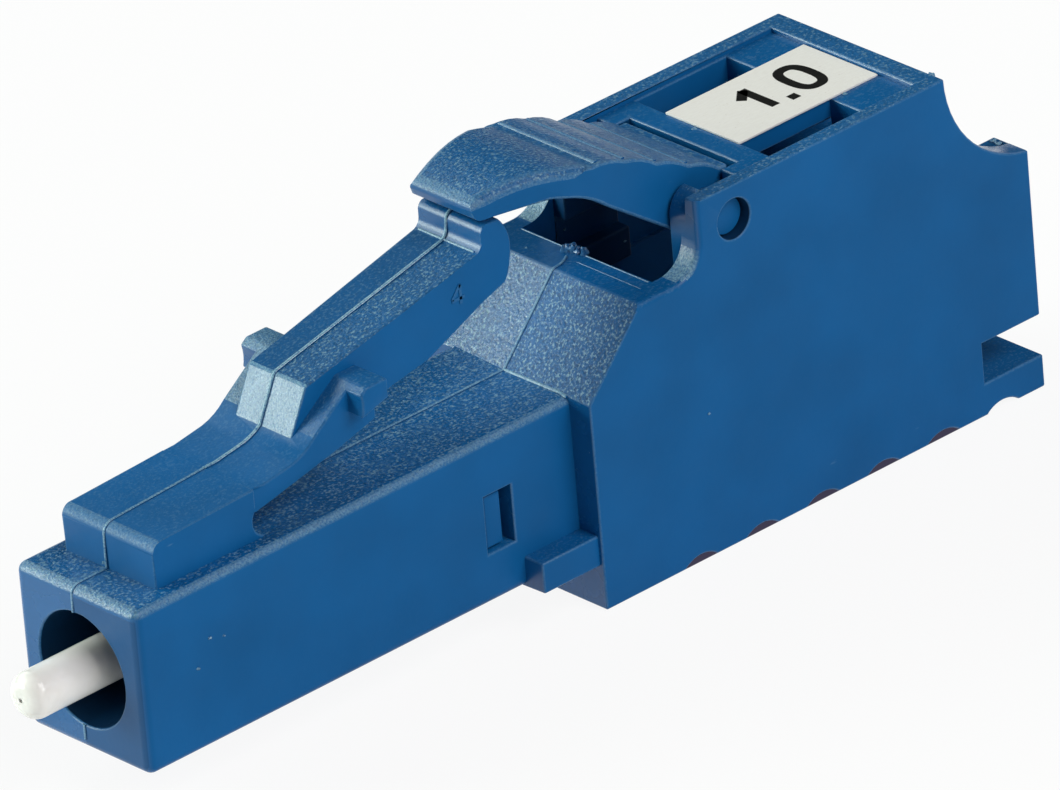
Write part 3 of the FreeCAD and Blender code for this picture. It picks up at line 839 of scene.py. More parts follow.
def dress(piece: bpy.types.Object, edge: EdgeBreak, material: bpy.types.Material,
          grain: Optional[float] = None, patches: tuple[SkinPatch, ...] = ()) -> None:
    """Breaks the edges of a piece, paints its skin if it is moulded, and shades it.

    Args:
        piece: the piece, whose mesh is changed.
        edge: how its edges are rounded.
        material: its material.
        grain: depth of a moulding's grain outside the patches; None for other pieces.
        patches: parts of a moulding with a finish of their own.
    """
    break_edges(piece, edge)
    if grain is not None:
        paint_moulding(piece.data, grain, patches)
    shade(piece, material)


def hand_over(piece: bpy.types.Object, body: Body, slot: Slot, *nodes: str) -> None:
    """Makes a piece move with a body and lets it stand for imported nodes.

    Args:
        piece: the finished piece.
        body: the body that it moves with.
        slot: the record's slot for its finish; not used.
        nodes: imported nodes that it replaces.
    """
    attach(piece, body.value)
    if nodes:
        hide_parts(*nodes)
    LOG.info("%s rides on %s, %d faces", piece.name, body.value, len(piece.data.polygons))


def ring_faces(rows: int, columns: int, round_trip: bool) -> np.ndarray:
    """Quads between rings of points that are stored ring by ring.

    Args:
        rows: number of rings.
        columns: number of points in a ring.
        round_trip: true if the last ring joins the first.

    Returns:
        Four point numbers for each quad.
    """
    row = np.arange(rows if round_trip else rows - 1)[:, None]
    column = np.arange(columns)[None, :]
    next_row = (row + 1) % rows
    next_column = (column + 1) % columns
    corners = (row * columns + column, row * columns + next_column,
               next_row * columns + next_column, next_row * columns + column)
    return np.stack(np.broadcast_arrays(*corners), axis=-1).reshape(-1, 4)


Skin = tuple[np.ndarray, list[list[int]]]


def skin(rings: np.ndarray, round_trip: bool = False) -> Skin:
    """Closes a row of rings into an outward skin, with flat caps or joined end to end.

    Args:
        rings: points as rings, points of a ring, coordinates.
        round_trip: true if the last ring joins the first and no caps are needed.

    Returns:
        The points, and the faces as lists of point numbers.
    """
    count, sides = rings.shape[:2]
    faces = ring_faces(count, sides, round_trip)
    points = rings.reshape(-1, 3)
    corners = points[faces]
    turns = np.cross(corners[:, 2] - corners[:, 0], corners[:, 3] - corners[:, 1])
    outward = (corners - rings.mean(axis=1)[faces[:, :1] // sides]).mean(axis=1)
    inward = (outward * turns).sum() < 0.0
    ring = np.arange(sides)
    caps = [] if round_trip else [ring[::-1], ring + (count - 1) * sides]
    return points, [(face[::-1] if inward else face).tolist() for face in (*faces, *caps)]


def joined(name: str, skins: list[Skin]) -> bpy.types.Object:
    """Makes one piece of several skins.

    Args:
        name: name of the piece.
        skins: the skins.

    Returns:
        The piece.
    """
    starts = np.cumsum([0] + [len(points) for points, _ in skins])
    points = np.concatenate([points for points, _ in skins])
    faces = []
    for start, (_, listed) in zip(starts, skins):
        faces += [[number + int(start) for number in face] for face in listed]
    mesh = bpy.data.meshes.new(name)
    mesh.from_pydata(points.tolist(), [], faces)
    mesh.validate()
    return linked(name, mesh)


def rubbed_trim(name: str, skins: list[Skin], wear_and_sheen: float) -> bpy.types.Object:
    """Makes one glossy piece of several skins, worn pale.

    Args:
        name: name of the piece.
        skins: the skins.
        wear_and_sheen: how pale it is; 1 is well worn.

    Returns:
        The piece.
    """
    piece = joined(name, skins)
    paint_faces(piece.data, "wear_and_sheen", wear_and_sheen)
    paint_faces(piece.data, "gloss", 1.0)
    return piece


def even_steps(path: np.ndarray, step: float) -> np.ndarray:
    """Divides a path of points into even steps along its length.

    Args:
        path: points of the path, one per row.
        step: wanted distance between points, in metres.

    Returns:
        The new points.
    """
    runs = np.linalg.norm(np.diff(path, axis=0), axis=1)
    along = np.concatenate(([0.0], np.cumsum(runs)))
    places = np.linspace(0.0, along[-1], max(int(along[-1] / step), 2) + 1)
    return np.stack([np.interp(places, along, path[:, axis]) for axis in range(3)], axis=1)


@dataclass(frozen=True)
class SeamLine:
    """Raised line, a flat oval carried along a path: a line that the mould left, or a pale line along an edge
    or crest. Its crest can carry a painted highlight and its near side a painted shadow.

    Attributes:
        width: width of the line, in metres.
        height: how far it stands out, in metres.
        wear_and_sheen: how pale its crest is painted, a painted highlight along the line; 1 is a full
            highlight.
        painted_shade: how dark the foot on its near side is painted, a painted shadow, from 0 to 1.
        sides: points around its oval.
    """

    width: float
    height: float
    wear_and_sheen: float
    painted_shade: float = 0.0
    sides: int = 12

    def along(self, name: str, path: np.ndarray) -> bpy.types.Object:
        """Builds the line: at each point an oval across the path's level heading and the path's own normal.

        Args:
            name: name of the piece.
            path: points in an upright plane.

        Returns:
            The piece.
        """
        steps = even_steps(path, self.width / 2.0)
        way = np.gradient(steps, axis=0)
        way /= np.linalg.norm(way, axis=1, keepdims=True)
        heading = path[-1, :2] - path[0, :2]
        reach = np.linalg.norm(heading)
        across = np.array([-heading[1], heading[0], 0.0]) / reach if reach else np.array([0.0, 1.0, 0.0])
        out = np.cross(way, across)
        angle = round_angles(self.sides)
        rings = (steps[:, None, :] + np.cos(angle)[None, :, None] * across * self.width / 2.0
                 + np.sin(angle)[None, :, None] * (out * self.height)[:, None, :])
        piece = joined(name, [skin(rings)])
        # faces on the near side get the painted shadow and no gloss, the rest the crest's painted highlight
        near = face_vectors(piece.data, "normal")[:, 1] < NEAR_SIDE
        paint_faces(piece.data, "wear_and_sheen", np.where(near, 0.0, self.wear_and_sheen))
        paint_faces(piece.data, "painted_shade", np.where(near, self.painted_shade, 0.0))
        paint_faces(piece.data, "gloss", np.where(near, 0.0, 1.0))
        return piece


def plumb_line(piece: bpy.types.Object, start: Span, end: Span, count: int = 240) -> np.ndarray:
    """Follows the top of a piece from one place to another by dropping plumb lines on it.

    Args:
        piece: the piece to follow.
        start: station and side where the line begins, in millimetres.
        end: station and side where it ends, in millimetres.
        count: number of plumb lines.

    Returns:
        Points on the surface in metres, one per row.
    """
    tree = BVHTree.FromObject(piece, bpy.context.evaluated_depsgraph_get())
    headroom = 1.0
    above = CAD_BOX[1][2] / MM + headroom
    tops = np.linspace(DATUM.at(*start, above), DATUM.at(*end, above), count)
    down = Vector((0.0, 0.0, -1.0))
    return np.array([tree.ray_cast(Vector(top), down)[0] for top in tops])


@dataclass(frozen=True)
class CrossLine:
    """Raised line straight across the top of a piece.

    Attributes:
        name: name of the line.
        station: where it crosses, in millimetres.
        sides: where it begins and ends, in millimetres.
        line: its section and finish.
    """

    name: str
    station: float
    sides: Span
    line: SeamLine

    def over(self, piece: bpy.types.Object) -> bpy.types.Object:
        """Lays the line on a piece."""
        start, end = ((self.station, side) for side in self.sides)
        return self.line.along(self.name, plumb_line(piece, start, end))


def pebble(centre: Point, size: float, seed: float, flat: float = 1.0) -> Skin:
    """A crumb: a ball whose radius swings by sines of its two angles.

    Args:
        centre: its centre, in metres.
        size: its mean radius, in metres.
        seed: shifts the sines, so that no two crumbs are alike.
        flat: its height as a share of its width.

    Returns:
        The crumb's skin.
    """
    columns, rows, pole = 16, 10, 0.12
    round_swing, round_waves = 0.22, 3.0
    down_swing, down_waves = 0.16, 4.0
    turn, tilt = np.meshgrid(round_angles(columns), np.linspace(pole, math.pi - pole, rows))
    reach = size * (1.0 + round_swing * np.sin(round_waves * turn + seed)
                    + down_swing * np.sin(down_waves * tilt - 2.0 * seed))
    level = np.sin(tilt)
    ball = np.stack([level * np.cos(turn), level * np.sin(turn), flat * np.cos(tilt)], axis=-1)
    return skin(np.array(centre) + ball * reach[..., None])


def ribbon(path: np.ndarray, width: float, thickness: float) -> Skin:
    """A stroke: a flat rectangle carried along a path in the XY plane, with mitred corners.

    Args:
        path: points of the stroke; a closed stroke ends where it begins.
        width: width of the stroke.
        thickness: its height above the plane.

    Returns:
        The stroke's skin.
    """
    closed = bool(np.allclose(path[0], path[-1]))
    runs = np.diff(path, axis=0)
    normals = np.stack([-runs[:, 1], runs[:, 0]], axis=1) / np.linalg.norm(runs, axis=1, keepdims=True)
    before = np.concatenate([normals[-1:] if closed else normals[:1], normals])
    after = np.concatenate([normals, normals[:1] if closed else normals[-1:]])
    mitre = (before + after) / (1.0 + (before * after).sum(axis=1, keepdims=True)) * width / 2.0
    rows = [np.column_stack([path + side * mitre, np.full(len(path), level)])
            for side, level in ((1.0, 0.0), (1.0, thickness), (-1.0, thickness), (-1.0, 0.0))]
    rings = np.stack(rows, axis=1)
    return skin(rings[:-1], True) if closed else skin(rings)


def oval_stroke(count: int = 40) -> np.ndarray:
    """Outline of a nought in the unit square: a squared oval, closed.

    Args:
        count: number of steps around it.

    Returns:
        Its points, one per row, with the first repeated at the end.
    """
    angle = np.linspace(0.0, 2.0 * math.pi, count + 1)
    round_off = 0.75
    legs = np.stack([np.cos(angle), np.sin(angle)], axis=1)
    return 0.5 + 0.5 * np.sign(legs) * np.abs(legs) ** round_off


DIGIT_STROKES: dict[str, tuple[np.ndarray, ...]] = {
    "0": (oval_stroke(),),
    "1": (np.array([(0.75, 1.0), (0.75, 0.0)]), np.array([(0.78, 0.96), (0.05, 0.66)])),
    ".": (np.array([(0.0, 0.0), (1.0, 0.0)]),),
    "4": (np.array([(0.70, 1.0), (0.02, 0.34)]), np.array([(0.0, 0.30), (1.0, 0.30)]),
          np.array([(0.70, 1.0), (0.70, 0.0)])),
}


@dataclass(frozen=True)
class NumberStyle:
    """Plain figures built of strokes. Sizes are in millimetres.

    Attributes:
        height: height of a figure.
        stroke: width of a stroke.
        thickness: height above the plane.
        widths: width of each figure between its outer strokes' centre lines.
        gap: space between figures.
    """

    height: float
    stroke: float
    thickness: float
    widths: dict[str, float]
    gap: float

    def strokes(self, digits: str) -> list[Skin]:
        """Writes a number along X from the origin, in metres, with its back at Z = 0.

        Args:
            digits: the number.

        Returns:
            A skin for each stroke.
        """
        made = []
        start = self.stroke / 2.0
        for digit in digits:
            scale = np.array([self.widths[digit], self.height - self.stroke])
            for line in DIGIT_STROKES[digit]:
                path = np.array([start, self.stroke / 2.0]) + line * scale
                made.append(ribbon(path * MM, self.stroke * MM, self.thickness * MM))
            start += self.widths[digit] + self.stroke + self.gap
        return made


@dataclass
class HousingMoulding:
    """Plug, latch root and port shell in one moulding, with its parting line, flash and marks.

    Sizes are in millimetres; stations run from the nose face.
    """

    edge: float = 0.055
    # paleness of the broken edges: worn edges and a painted highlight
    edge_wear_and_sheen: float = 0.22
    bore_top: float = 5.0
    bore_bottom: float = 1.9
    lower_seam_start: float = 1.5
    top_seam_start: float = 0.02
    seam_side: float = 0.12
    # parting line, with a painted highlight on its crest and a painted shadow on its near side
    seam_line: SeamLine = SeamLine(0.09 * MM, 0.035 * MM, wear_and_sheen=1.1, painted_shade=0.4)
    root_end: float = 4.5
    seam_restart: float = 5.3
    ledge_seam_end: float = 16.9
    seam_bend: float = 0.6
    seam_swing: float = 0.22
    ledge_height: float = 7.74
    # pale lines of painted highlight at the slope's foot and along the pocket's edge, and a faint witness
    # line on the ledge
    cross_lines: tuple[CrossLine, ...] = (
        CrossLine("slope_foot_highlight", 14.37, (-2.15, 0.1), SeamLine(0.10 * MM, 0.04 * MM, wear_and_sheen=1.6)),
        CrossLine("ledge_witness", 16.86, (-2.4, -0.1), SeamLine(0.04 * MM, 0.015 * MM, wear_and_sheen=0.3)),
        CrossLine("pocket_edge_highlight", 17.22, (-2.3, 2.3), SeamLine(0.04 * MM, 0.02 * MM, wear_and_sheen=0.8)),
    )
    ear_feet: tuple[Zone, ...] = (
        Zone((17.2, 2.3, 7.7), (18.4, 2.4, 8.7)),
        Zone((17.2, -2.4, 7.7), (18.4, -2.3, 8.7)),
    )
    common_grain: float = 0.15
    patches: tuple[SkinPatch, ...] = (
        # the plug's top, with painted sheen on its front and near edges
        SkinPatch((-0.1, -2.3, 5.0), (14.5, 2.3, 5.75), grain=0.7),
        SkinPatch((-0.1, -2.3, 5.4), (0.3, 2.3, 5.72), grain=1.0, painted_sheen=0.6),
        SkinPatch((0.2, -2.3, 5.4), (14.3, -1.95, 5.69), grain=0.6, painted_sheen=0.6),
        # the slope on both sides of the parting line, with a little painted sheen on the far side
        SkinPatch((14.2, 0.12, 5.6), (16.24, 3.0, 7.72), grain=1.0, painted_sheen=0.05),
        SkinPatch((14.2, -3.0, 5.6), (16.24, 0.12, 7.72), grain=1.0, gloss=0.45),
        # the latch root, with painted sheen on its front edge
        SkinPatch((1.0, -1.8, 5.75), (5.0, 1.8, 7.2), grain=0.15, gloss=0.3),
        SkinPatch((1.0, -1.8, 6.5), (1.48, 1.8, 6.95), grain=0.5, painted_sheen=0.4),
        # the curves in front of the ears and the shell's top, with painted sheen
        SkinPatch((17.0, -3.0, 7.76), (18.4, 3.0, 8.7), grain=1.0, painted_sheen=1.2),
        SkinPatch((17.5, -3.0, 9.62), (30.0, 3.0, 9.8), grain=0.6, painted_sheen=0.1),
        # painted shade in shaded places: nose bore, pocket, pivot's ring, far ear and near half of the nose
        SkinPatch((0.1, -1.6, 1.85), (7.0, 1.6, 5.05), gloss=0.2, painted_shade=0.85),
        SkinPatch((17.3, -2.4, 1.0), (20.5, 2.4, 7.7), gloss=0.2, painted_shade=0.7),
        SkinPatch((18.9, -2.95, 8.1), (20.3, -2.45, 9.45), gloss=0.2, painted_shade=0.85),
        SkinPatch((18.3, 1.8, 7.0), (20.0, 2.4, 8.8), gloss=0.2, painted_shade=0.6),
        SkinPatch((-0.05, -2.2, 1.0), (0.05, 0.1, 5.3), gloss=0.6, painted_shade=0.25),
    )
    flash_wear: float = 0.3
    flash_lift: float = 1.0 / 3.0
    flash_crumbs: tuple[tuple[float, float, float], ...] = (
        (17.09, 0.56, 0.12), (17.18, 0.44, 0.15), (17.21, 0.27, 0.12),
        (17.27, 0.10, 0.11), (17.29, 0.36, 0.09),
    )
    speck_wear: float = 1.2
    speck_flat: float = 0.6
    specks: tuple[tuple[float, float, float, float], ...] = (
        (16.59, 1.46, 7.74, 0.035), (18.61, 2.31, 7.16, 0.04), (20.23, 1.93, 6.29, 0.045),
        (18.22, -2.98, 3.90, 0.04), (2.26, -2.21, 4.13, 0.05), (1.81, -2.21, 3.47, 0.05),
        (2.71, -2.21, 4.0, 0.04), (29.30, -1.96, 6.65, 0.10), (29.30, -2.14, 6.65, 0.08),
        (26.80, -2.25, 9.62, 0.08), (26.93, -2.45, 9.62, 0.09), (24.96, -1.40, 9.55, 0.06),
        (21.31, 0.20, 9.55, 0.06), (1.20, 0.20, 5.83, 0.06),
    )

    def build(self, finishes: Finishes) -> None:
        """Builds the dressed moulding, what the mould left on it, and pale lines of painted highlight.

        Args:
            finishes: the shared materials.
        """
        shell = welded_copy("housing", "housing_moulding", self.seam_side)
        edge = EdgeBreak(self.edge * MM, wear_and_sheen=self.edge_wear_and_sheen, spared=self.ear_feet)
        dress(shell, edge, finishes.blue, self.common_grain, self.patches)
        hand_over(shell, Body.HOUSING, Slot.BLUE, "housing")
        crossing = (line.over(shell) for line in self.cross_lines)
        for piece in (*self.seams(shell), *crossing, self.flash(), self.marks()):
            shade(piece, finishes.blue)
            hand_over(piece, Body.HOUSING, Slot.BLUE)

    def seams(self, shell: bpy.types.Object) -> list[bpy.types.Object]:
        """Lays the parting line over the nose, the latch root, the plug's top and the slope.

        Args:
            shell: the dressed moulding.

        Returns:
            The lines.
        """
        line, side = self.seam_line, self.seam_side
        face = np.array([DATUM.at(0.0, side, self.bore_top)])
        front = plumb_line(shell, (self.top_seam_start, side), (self.root_end, side))
        heights = (self.lower_seam_start, self.bore_bottom)
        below = np.array([DATUM.at(0.0, side, height) for height in heights])
        rear = plumb_line(shell, (self.seam_restart, side), (self.ledge_seam_end, side))
        bend_end = DATUM.x(self.ledge_seam_end)
        bent = ramp(rear[:, 0], bend_end - self.seam_bend * MM, bend_end)
        rear[:, 1] += bent ** 2 * self.seam_swing * MM
        return [
            line.along("nose_seam", np.concatenate([face, front])),
            line.along("plug_top_seam", rear),
            line.along("nose_lower_seam", below),
        ]

    def flash(self) -> bpy.types.Object:
        """Leaves the crumbs of flash where the parting line ends at the pocket.

        Returns:
            The crumbs, as one piece.
        """
        crumbs = []
        for number, (station, side, size) in enumerate(self.flash_crumbs):
            centre = DATUM.at(station, side, self.ledge_height + size * self.flash_lift)
            crumbs.append(pebble(centre, size * MM, number))
        return rubbed_trim("pocket_flash", crumbs, self.flash_wear)

    def marks(self) -> bpy.types.Object:
        """Scatters the pale specks and small burrs that the moulding carries.

        Returns:
            The specks, as one piece.
        """
        specks = [pebble(DATUM.at(*place), size * MM, number, self.speck_flat)
                  for number, (*place, size) in enumerate(self.specks)]
        return rubbed_trim("pale_specks", specks, self.speck_wear)


@dataclass
class LatchSpring:
    """Leaf, catch lugs and arm, which bend out of the latch root in one piece.

    Sizes are in millimetres; stations run from the nose face.
    """

    edge: float = 0.06
    # paleness of the broken edges: worn edges and a painted highlight
    edge_wear_and_sheen: float = 0.1
    flex_station: float = 4.9
    flex_height: float = 6.76
    root_end: float = 4.57
    root_fall: float = 0.05
    tail_stretch: float = 8.0
    tail_narrowing: float = 0.05
    narrowing_run: float = 0.3
    bend_length: float = 0.8
    seam_side: float = 0.12
    seam_start: float = 4.52
    seam_end: float = 13.4
    # parting line, with a painted highlight on its crest and a painted shadow on its near side
    seam_line: SeamLine = SeamLine(0.12 * MM, 0.05 * MM, wear_and_sheen=1.6, painted_shade=0.4)
    # a pale line of painted highlight at the hump's foot
    hump_line: CrossLine = CrossLine("hump_foot_highlight", 12.78, (-1.0, 1.0),
                                     SeamLine(0.07 * MM, 0.03 * MM, wear_and_sheen=1.6))
    common_grain: float = 0.15
    patches: tuple[SkinPatch, ...] = (
        # the leaf, and the arm's top on both sides of the parting line, with a little painted sheen on the
        # near half and painted shade, darker on the far half
        SkinPatch((4.0, -1.8, 6.0), (6.6, 1.8, 7.6), grain=0.15, gloss=0.2),
        SkinPatch((7.0, -1.1, 8.5), (12.7, 0.12, 10.0), grain=0.8, painted_sheen=0.05, gloss=0.25, painted_shade=0.1),
        SkinPatch((7.0, 0.12, 8.5), (12.7, 1.3, 10.0), grain=0.3, gloss=0.0, painted_shade=0.2),
        # the block's front, the near lug and the far lug, with painted sheen, strongest on the block's front
        # and the far lug
        SkinPatch((6.3, -1.2, 7.6), (7.95, 1.2, 8.9), grain=0.6, painted_sheen=1.0),
        SkinPatch((6.9, -2.3, 6.4), (8.8, -1.06, 8.7), grain=0.3, painted_sheen=0.05, gloss=0.7),
        SkinPatch((6.9, 1.06, 6.4), (8.8, 2.3, 8.7), grain=0.8, painted_sheen=0.7),
    )
    mark: str = "4"
    mark_wear: float = 0.15
    # painted shade on the sides of the number's strokes
    mark_painted_shade: float = 0.1
    mark_style: NumberStyle = NumberStyle(height=0.62, stroke=0.085, thickness=0.04,
                                          widths={"4": 0.42}, gap=0.0)
    mark_place: Span = (11.78, 8.82)
    arm_side: float = -1.115

    def build(self, finishes: Finishes) -> None:
        """Builds the latch with its parting line, a pale line of painted highlight at the hump's foot, and
        the mould's number.

        Args:
            finishes: the shared materials.
        """
        latch = welded_copy("latch_arm", "latch_spring", self.seam_side)
        self.sink_tail(latch)
        edge = EdgeBreak(self.edge * MM, wear_and_sheen=self.edge_wear_and_sheen)
        dress(latch, edge, finishes.blue, self.common_grain, self.patches)
        middle = plumb_line(latch, (self.seam_start, self.seam_side), (self.seam_end, self.seam_side))
        seam = self.seam_line.along("latch_seam", middle)
        foot = self.hump_line.over(latch)
        for piece in (seam, foot):
            shade(piece, finishes.blue)
        hand_over(foot, Body.LATCH, Slot.BLUE)
        start = DATUM.at(self.flex_station - self.bend_length / 2.0, 0.0, self.flex_height)
        end = DATUM.at(self.flex_station + self.bend_length / 2.0, 0.0, self.flex_height)
        for piece in (latch, seam):
            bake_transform(piece)
            LOG.info("%s bends from the root, %d faces", piece.name, len(piece.data.polygons))
        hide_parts("latch_arm")
        self.cavity_number(finishes)

    def sink_tail(self, latch: bpy.types.Object) -> None:
        """Draws the leaf's round front end out into the root, so that no slot shows between them.

        Points ahead of the flex line move forward in proportion. Inside the root they fall
        with its top and narrow, so that the root covers them.

        Args:
            latch: the latch, whose mesh is changed.
        """
        places = vertex_places(latch.data)
        ahead = np.maximum(DATUM.x(self.flex_station) - places[:, 0], 0.0)
        places[:, 0] -= ahead * (self.tail_stretch - 1.0)
        inside = np.maximum(DATUM.x(self.root_end) - places[:, 0], 0.0)
        places[:, 2] -= inside * self.root_fall
        places[:, 1] *= 1.0 - self.tail_narrowing * ramp(inside, 0.0, self.narrowing_run * MM)
        move_vertices(latch.data, places)

    def cavity_number(self, finishes: Finishes) -> None:
        """Raises a plain mould number on the arm's side, reading along the arm.

        Args:
            finishes: the shared materials.
        """
        mark = joined("mould_number", self.mark_style.strokes(self.mark))
        places = vertex_places(mark.data)
        station, height = self.mark_place
        start = np.array(DATUM.at(station, self.arm_side + self.mark_style.thickness / 2.0, height))
        move_vertices(mark.data, start + np.stack([places[:, 0], -places[:, 2], places[:, 1]], axis=1))
        # the raised faces are worn pale, the sides of the strokes get painted shade
        raised = face_vectors(mark.data, "normal")[:, 1] < NEAR_SIDE
        paint_faces(mark.data, "wear_and_sheen", np.where(raised, self.mark_wear, 0.0))
        paint_faces(mark.data, "painted_shade", np.where(raised, 0.0, self.mark_painted_shade))
        shade(mark, finishes.blue)
        hand_over(mark, Body.LATCH, Slot.BLUE)


@dataclass
class TriggerLever:
    """Ribbed lever over the latch's tail, worn soft at its edges. Sizes are in millimetres."""

    edge: float = 0.085
    # paleness of the broken edges: worn edges and a painted highlight
    edge_wear_and_sheen: float = 0.4
    common_grain: float = 0.4
    patches: tuple[SkinPatch, ...] = (
        # the lever's top and its nose, with painted sheen, stronger on the nose
        SkinPatch((12.0, -2.8, 9.0), (21.0, 2.8, 12.0), grain=0.7, painted_sheen=0.05, gloss=0.6),
        SkinPatch((12.5, -1.3, 11.0), (12.94, 1.3, 11.5), grain=0.7, painted_sheen=0.55),
    )
    ridges: tuple[float, ...] = (16.3, 17.2, 18.22, 19.24)
    ridge_sides: Span = (-1.72, 1.72)
    # crests of the grip, pale as a painted highlight
    ridge_line: SeamLine = SeamLine(0.13 * MM, 0.035 * MM, wear_and_sheen=0.6)

    def build(self, finishes: Finishes) -> None:
        """Builds the dressed lever and the crests of its grip.

        Args:
            finishes: the shared materials.
        """
        lever = welded_copy("trigger_lever", "trigger_moulding")
        edge = EdgeBreak(self.edge * MM, wear_and_sheen=self.edge_wear_and_sheen)
        dress(lever, edge, finishes.blue, self.common_grain, self.patches)
        hand_over(lever, Body.TRIGGER, Slot.BLUE, "trigger_lever")
        for number, station in enumerate(self.ridges, start=1):
            line = CrossLine("grip_ridge_%d" % number, station, self.ridge_sides, self.ridge_line)
            ridge = line.over(lever)
            shade(ridge, finishes.blue)
            hand_over(ridge, Body.TRIGGER, Slot.BLUE)


@dataclass
class OpticalStub:
    """Ceramic ferrule with its fibre, flange and spring. Sizes are in millimetres."""

    tip_round: float = 0.42
    tip_steps: int = 12
    flange_edge: float = 0.05
    neck_radius: float = 0.45
    neck_front: float = 7.6
    neck_rear: float = 9.6
    fibre_radius: float = 0.0625
    sides: int = 72
    wire_radius: float = 0.14
    wire_sides: int = 14
    coil_turns: int = 4
    coil_steps: int = 48
    float_travel: float = 0.5

    def build(self, finishes: Finishes) -> None:
        """Builds the ferrule, the flange and the spring, and finishes the fibre.

        Args:
            finishes: the shared materials.
        """
        ferrule = self.ferrule()
        shade(ferrule, finishes.ceramic)
        hand_over(ferrule, Body.STUB, Slot.CERAMIC, "ferrule")
        flange = welded_copy("ferrule_flange", "flange_ring")
        dress(flange, EdgeBreak(self.flange_edge * MM), finishes.plated)
        hand_over(flange, Body.STUB, Slot.METAL, "ferrule_flange")
        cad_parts["attenuating_fibre"].material_slots[0].material = finishes.glass
        self.spring(finishes)

    def ferrule(self) -> bpy.types.Object:
        """Turns the ferrule's section about its axis: a round at the tip, then the barrel and its neck.

        Returns:
            The piece.
        """
        low, high = (np.array(corner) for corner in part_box("ferrule"))
        radius = (high[1] - low[1]) / 2.0
        axis = (low[2] + high[2]) / 2.0
        bend = np.linspace(0.0, math.pi / 2.0, self.tip_steps)[::-1]
        tip = np.stack([low[0] + self.tip_round * MM * (1.0 - np.sin(bend)),
                        radius - self.tip_round * MM * (1.0 - np.cos(bend))], axis=1)
        neck = [(self.neck_front, radius), (self.neck_front, self.neck_radius * MM),
                (self.neck_rear, self.neck_radius * MM), (self.neck_rear, radius)]
        bore = self.fibre_radius * MM
        ends = [(high[0], radius), (high[0], bore)]
        barrel = np.array([(DATUM.x(station), reach) for station, reach in neck] + ends)
        section = np.concatenate([[[low[0], bore]], tip, barrel])
        angle = round_angles(self.sides)
        rings = np.stack([
            np.broadcast_to(section[:, :1], (len(section), self.sides)),
            section[:, 1:] * np.cos(angle),
            axis + section[:, 1:] * np.sin(angle),
        ], axis=-1)
        return joined("ferrule_stub", [skin(rings)])

    def spring(self, finishes: Finishes) -> None:
        """Winds the spring: a circle of wire carried along a helix about the ferrule's axis.

        Args:
            finishes: the shared materials.
        """
        low, high = (np.array(corner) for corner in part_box("spring"))
        wire = self.wire_radius * MM
        coil = (high[1] - low[1]) / 2.0 - wire
        axis = (low[2] + high[2]) / 2.0
        share = np.linspace(0.0, 1.0, self.coil_steps * self.coil_turns + 1)
        turn = (2.0 * math.pi * self.coil_turns * share)[:, None]
        angle = round_angles(self.wire_sides)[None, :]
        along = (low[0] + wire + (high[0] - low[0] - 2.0 * wire) * share)[:, None]
        reach = coil + wire * np.cos(angle)
        forward = along + wire * np.sin(angle)
        rings = np.stack([forward, reach * np.cos(turn), axis + reach * np.sin(turn)], axis=-1)
        piece = joined("spring_coil", [skin(rings)])
        shade(piece, finishes.wire)
        hand_over(piece, Body.HOUSING, Slot.WIRE, "spring")
        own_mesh(piece)


@dataclass
class SleeveInsert:
    """Holder that snaps into the plug, and the split sleeve in it. Sizes are in millimetres."""

    holder_edge: float = 0.05
    sleeve_edge: float = 0.02

    def build(self, finishes: Finishes) -> None:
        """Builds both pieces.

        Args:
            finishes: the shared materials.
        """
        holder = welded_copy("sleeve_holder", "sleeve_insert")
        dress(holder, EdgeBreak(self.holder_edge * MM), finishes.blue, grain=0.0)
        hand_over(holder, Body.HOUSING, Slot.BLUE, "sleeve_holder")
        sleeve = welded_copy("split_sleeve", "alignment_sleeve")
        dress(sleeve, EdgeBreak(self.sleeve_edge * MM), finishes.ceramic)
        hand_over(sleeve, Body.HOUSING, Slot.CERAMIC, "split_sleeve")


@dataclass
class LabelStrip:
    """Paper strip on the panel's bar, printed with a plain number. Sizes are in millimetres."""

    edge: float = 0.012
    digits: str = "1.0"
    print_style: NumberStyle = NumberStyle(height=1.55, stroke=0.27, thickness=0.006,
                                           widths={"1": 0.55, ".": 0.27, "0": 0.75}, gap=0.06)
    print_place: Span = (22.85, -0.70)
    print_sunk: float = 0.002

    def build(self, finishes: Finishes) -> None:
        """Builds the strip and its print.

        Args:
            finishes: the shared materials.
        """
        strip = welded_copy("label", "label_strip")
        dress(strip, EdgeBreak(self.edge * MM), finishes.paper)
        hand_over(strip, Body.HOUSING, Slot.PAPER, "label")
        figures = joined("label_number", self.print_style.strokes(self.digits))
        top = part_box("label")[1][2] / MM - self.print_sunk
        start = np.array(DATUM.at(*self.print_place, top))
        move_vertices(figures.data, vertex_places(figures.data) + start)
        shade(figures, finishes.ink)
        hand_over(figures, Body.HOUSING, Slot.PAPER)


def direction(azimuth: float, elevation: float) -> Vector:
    """Way from the object to a lamp or a camera, with angles in degrees; azimuth 0 is on the side of -Y."""
    turn, lift = math.radians(azimuth), math.radians(elevation)
    return Vector((math.sin(turn) * math.cos(lift), -math.cos(turn) * math.cos(lift), math.sin(lift)))


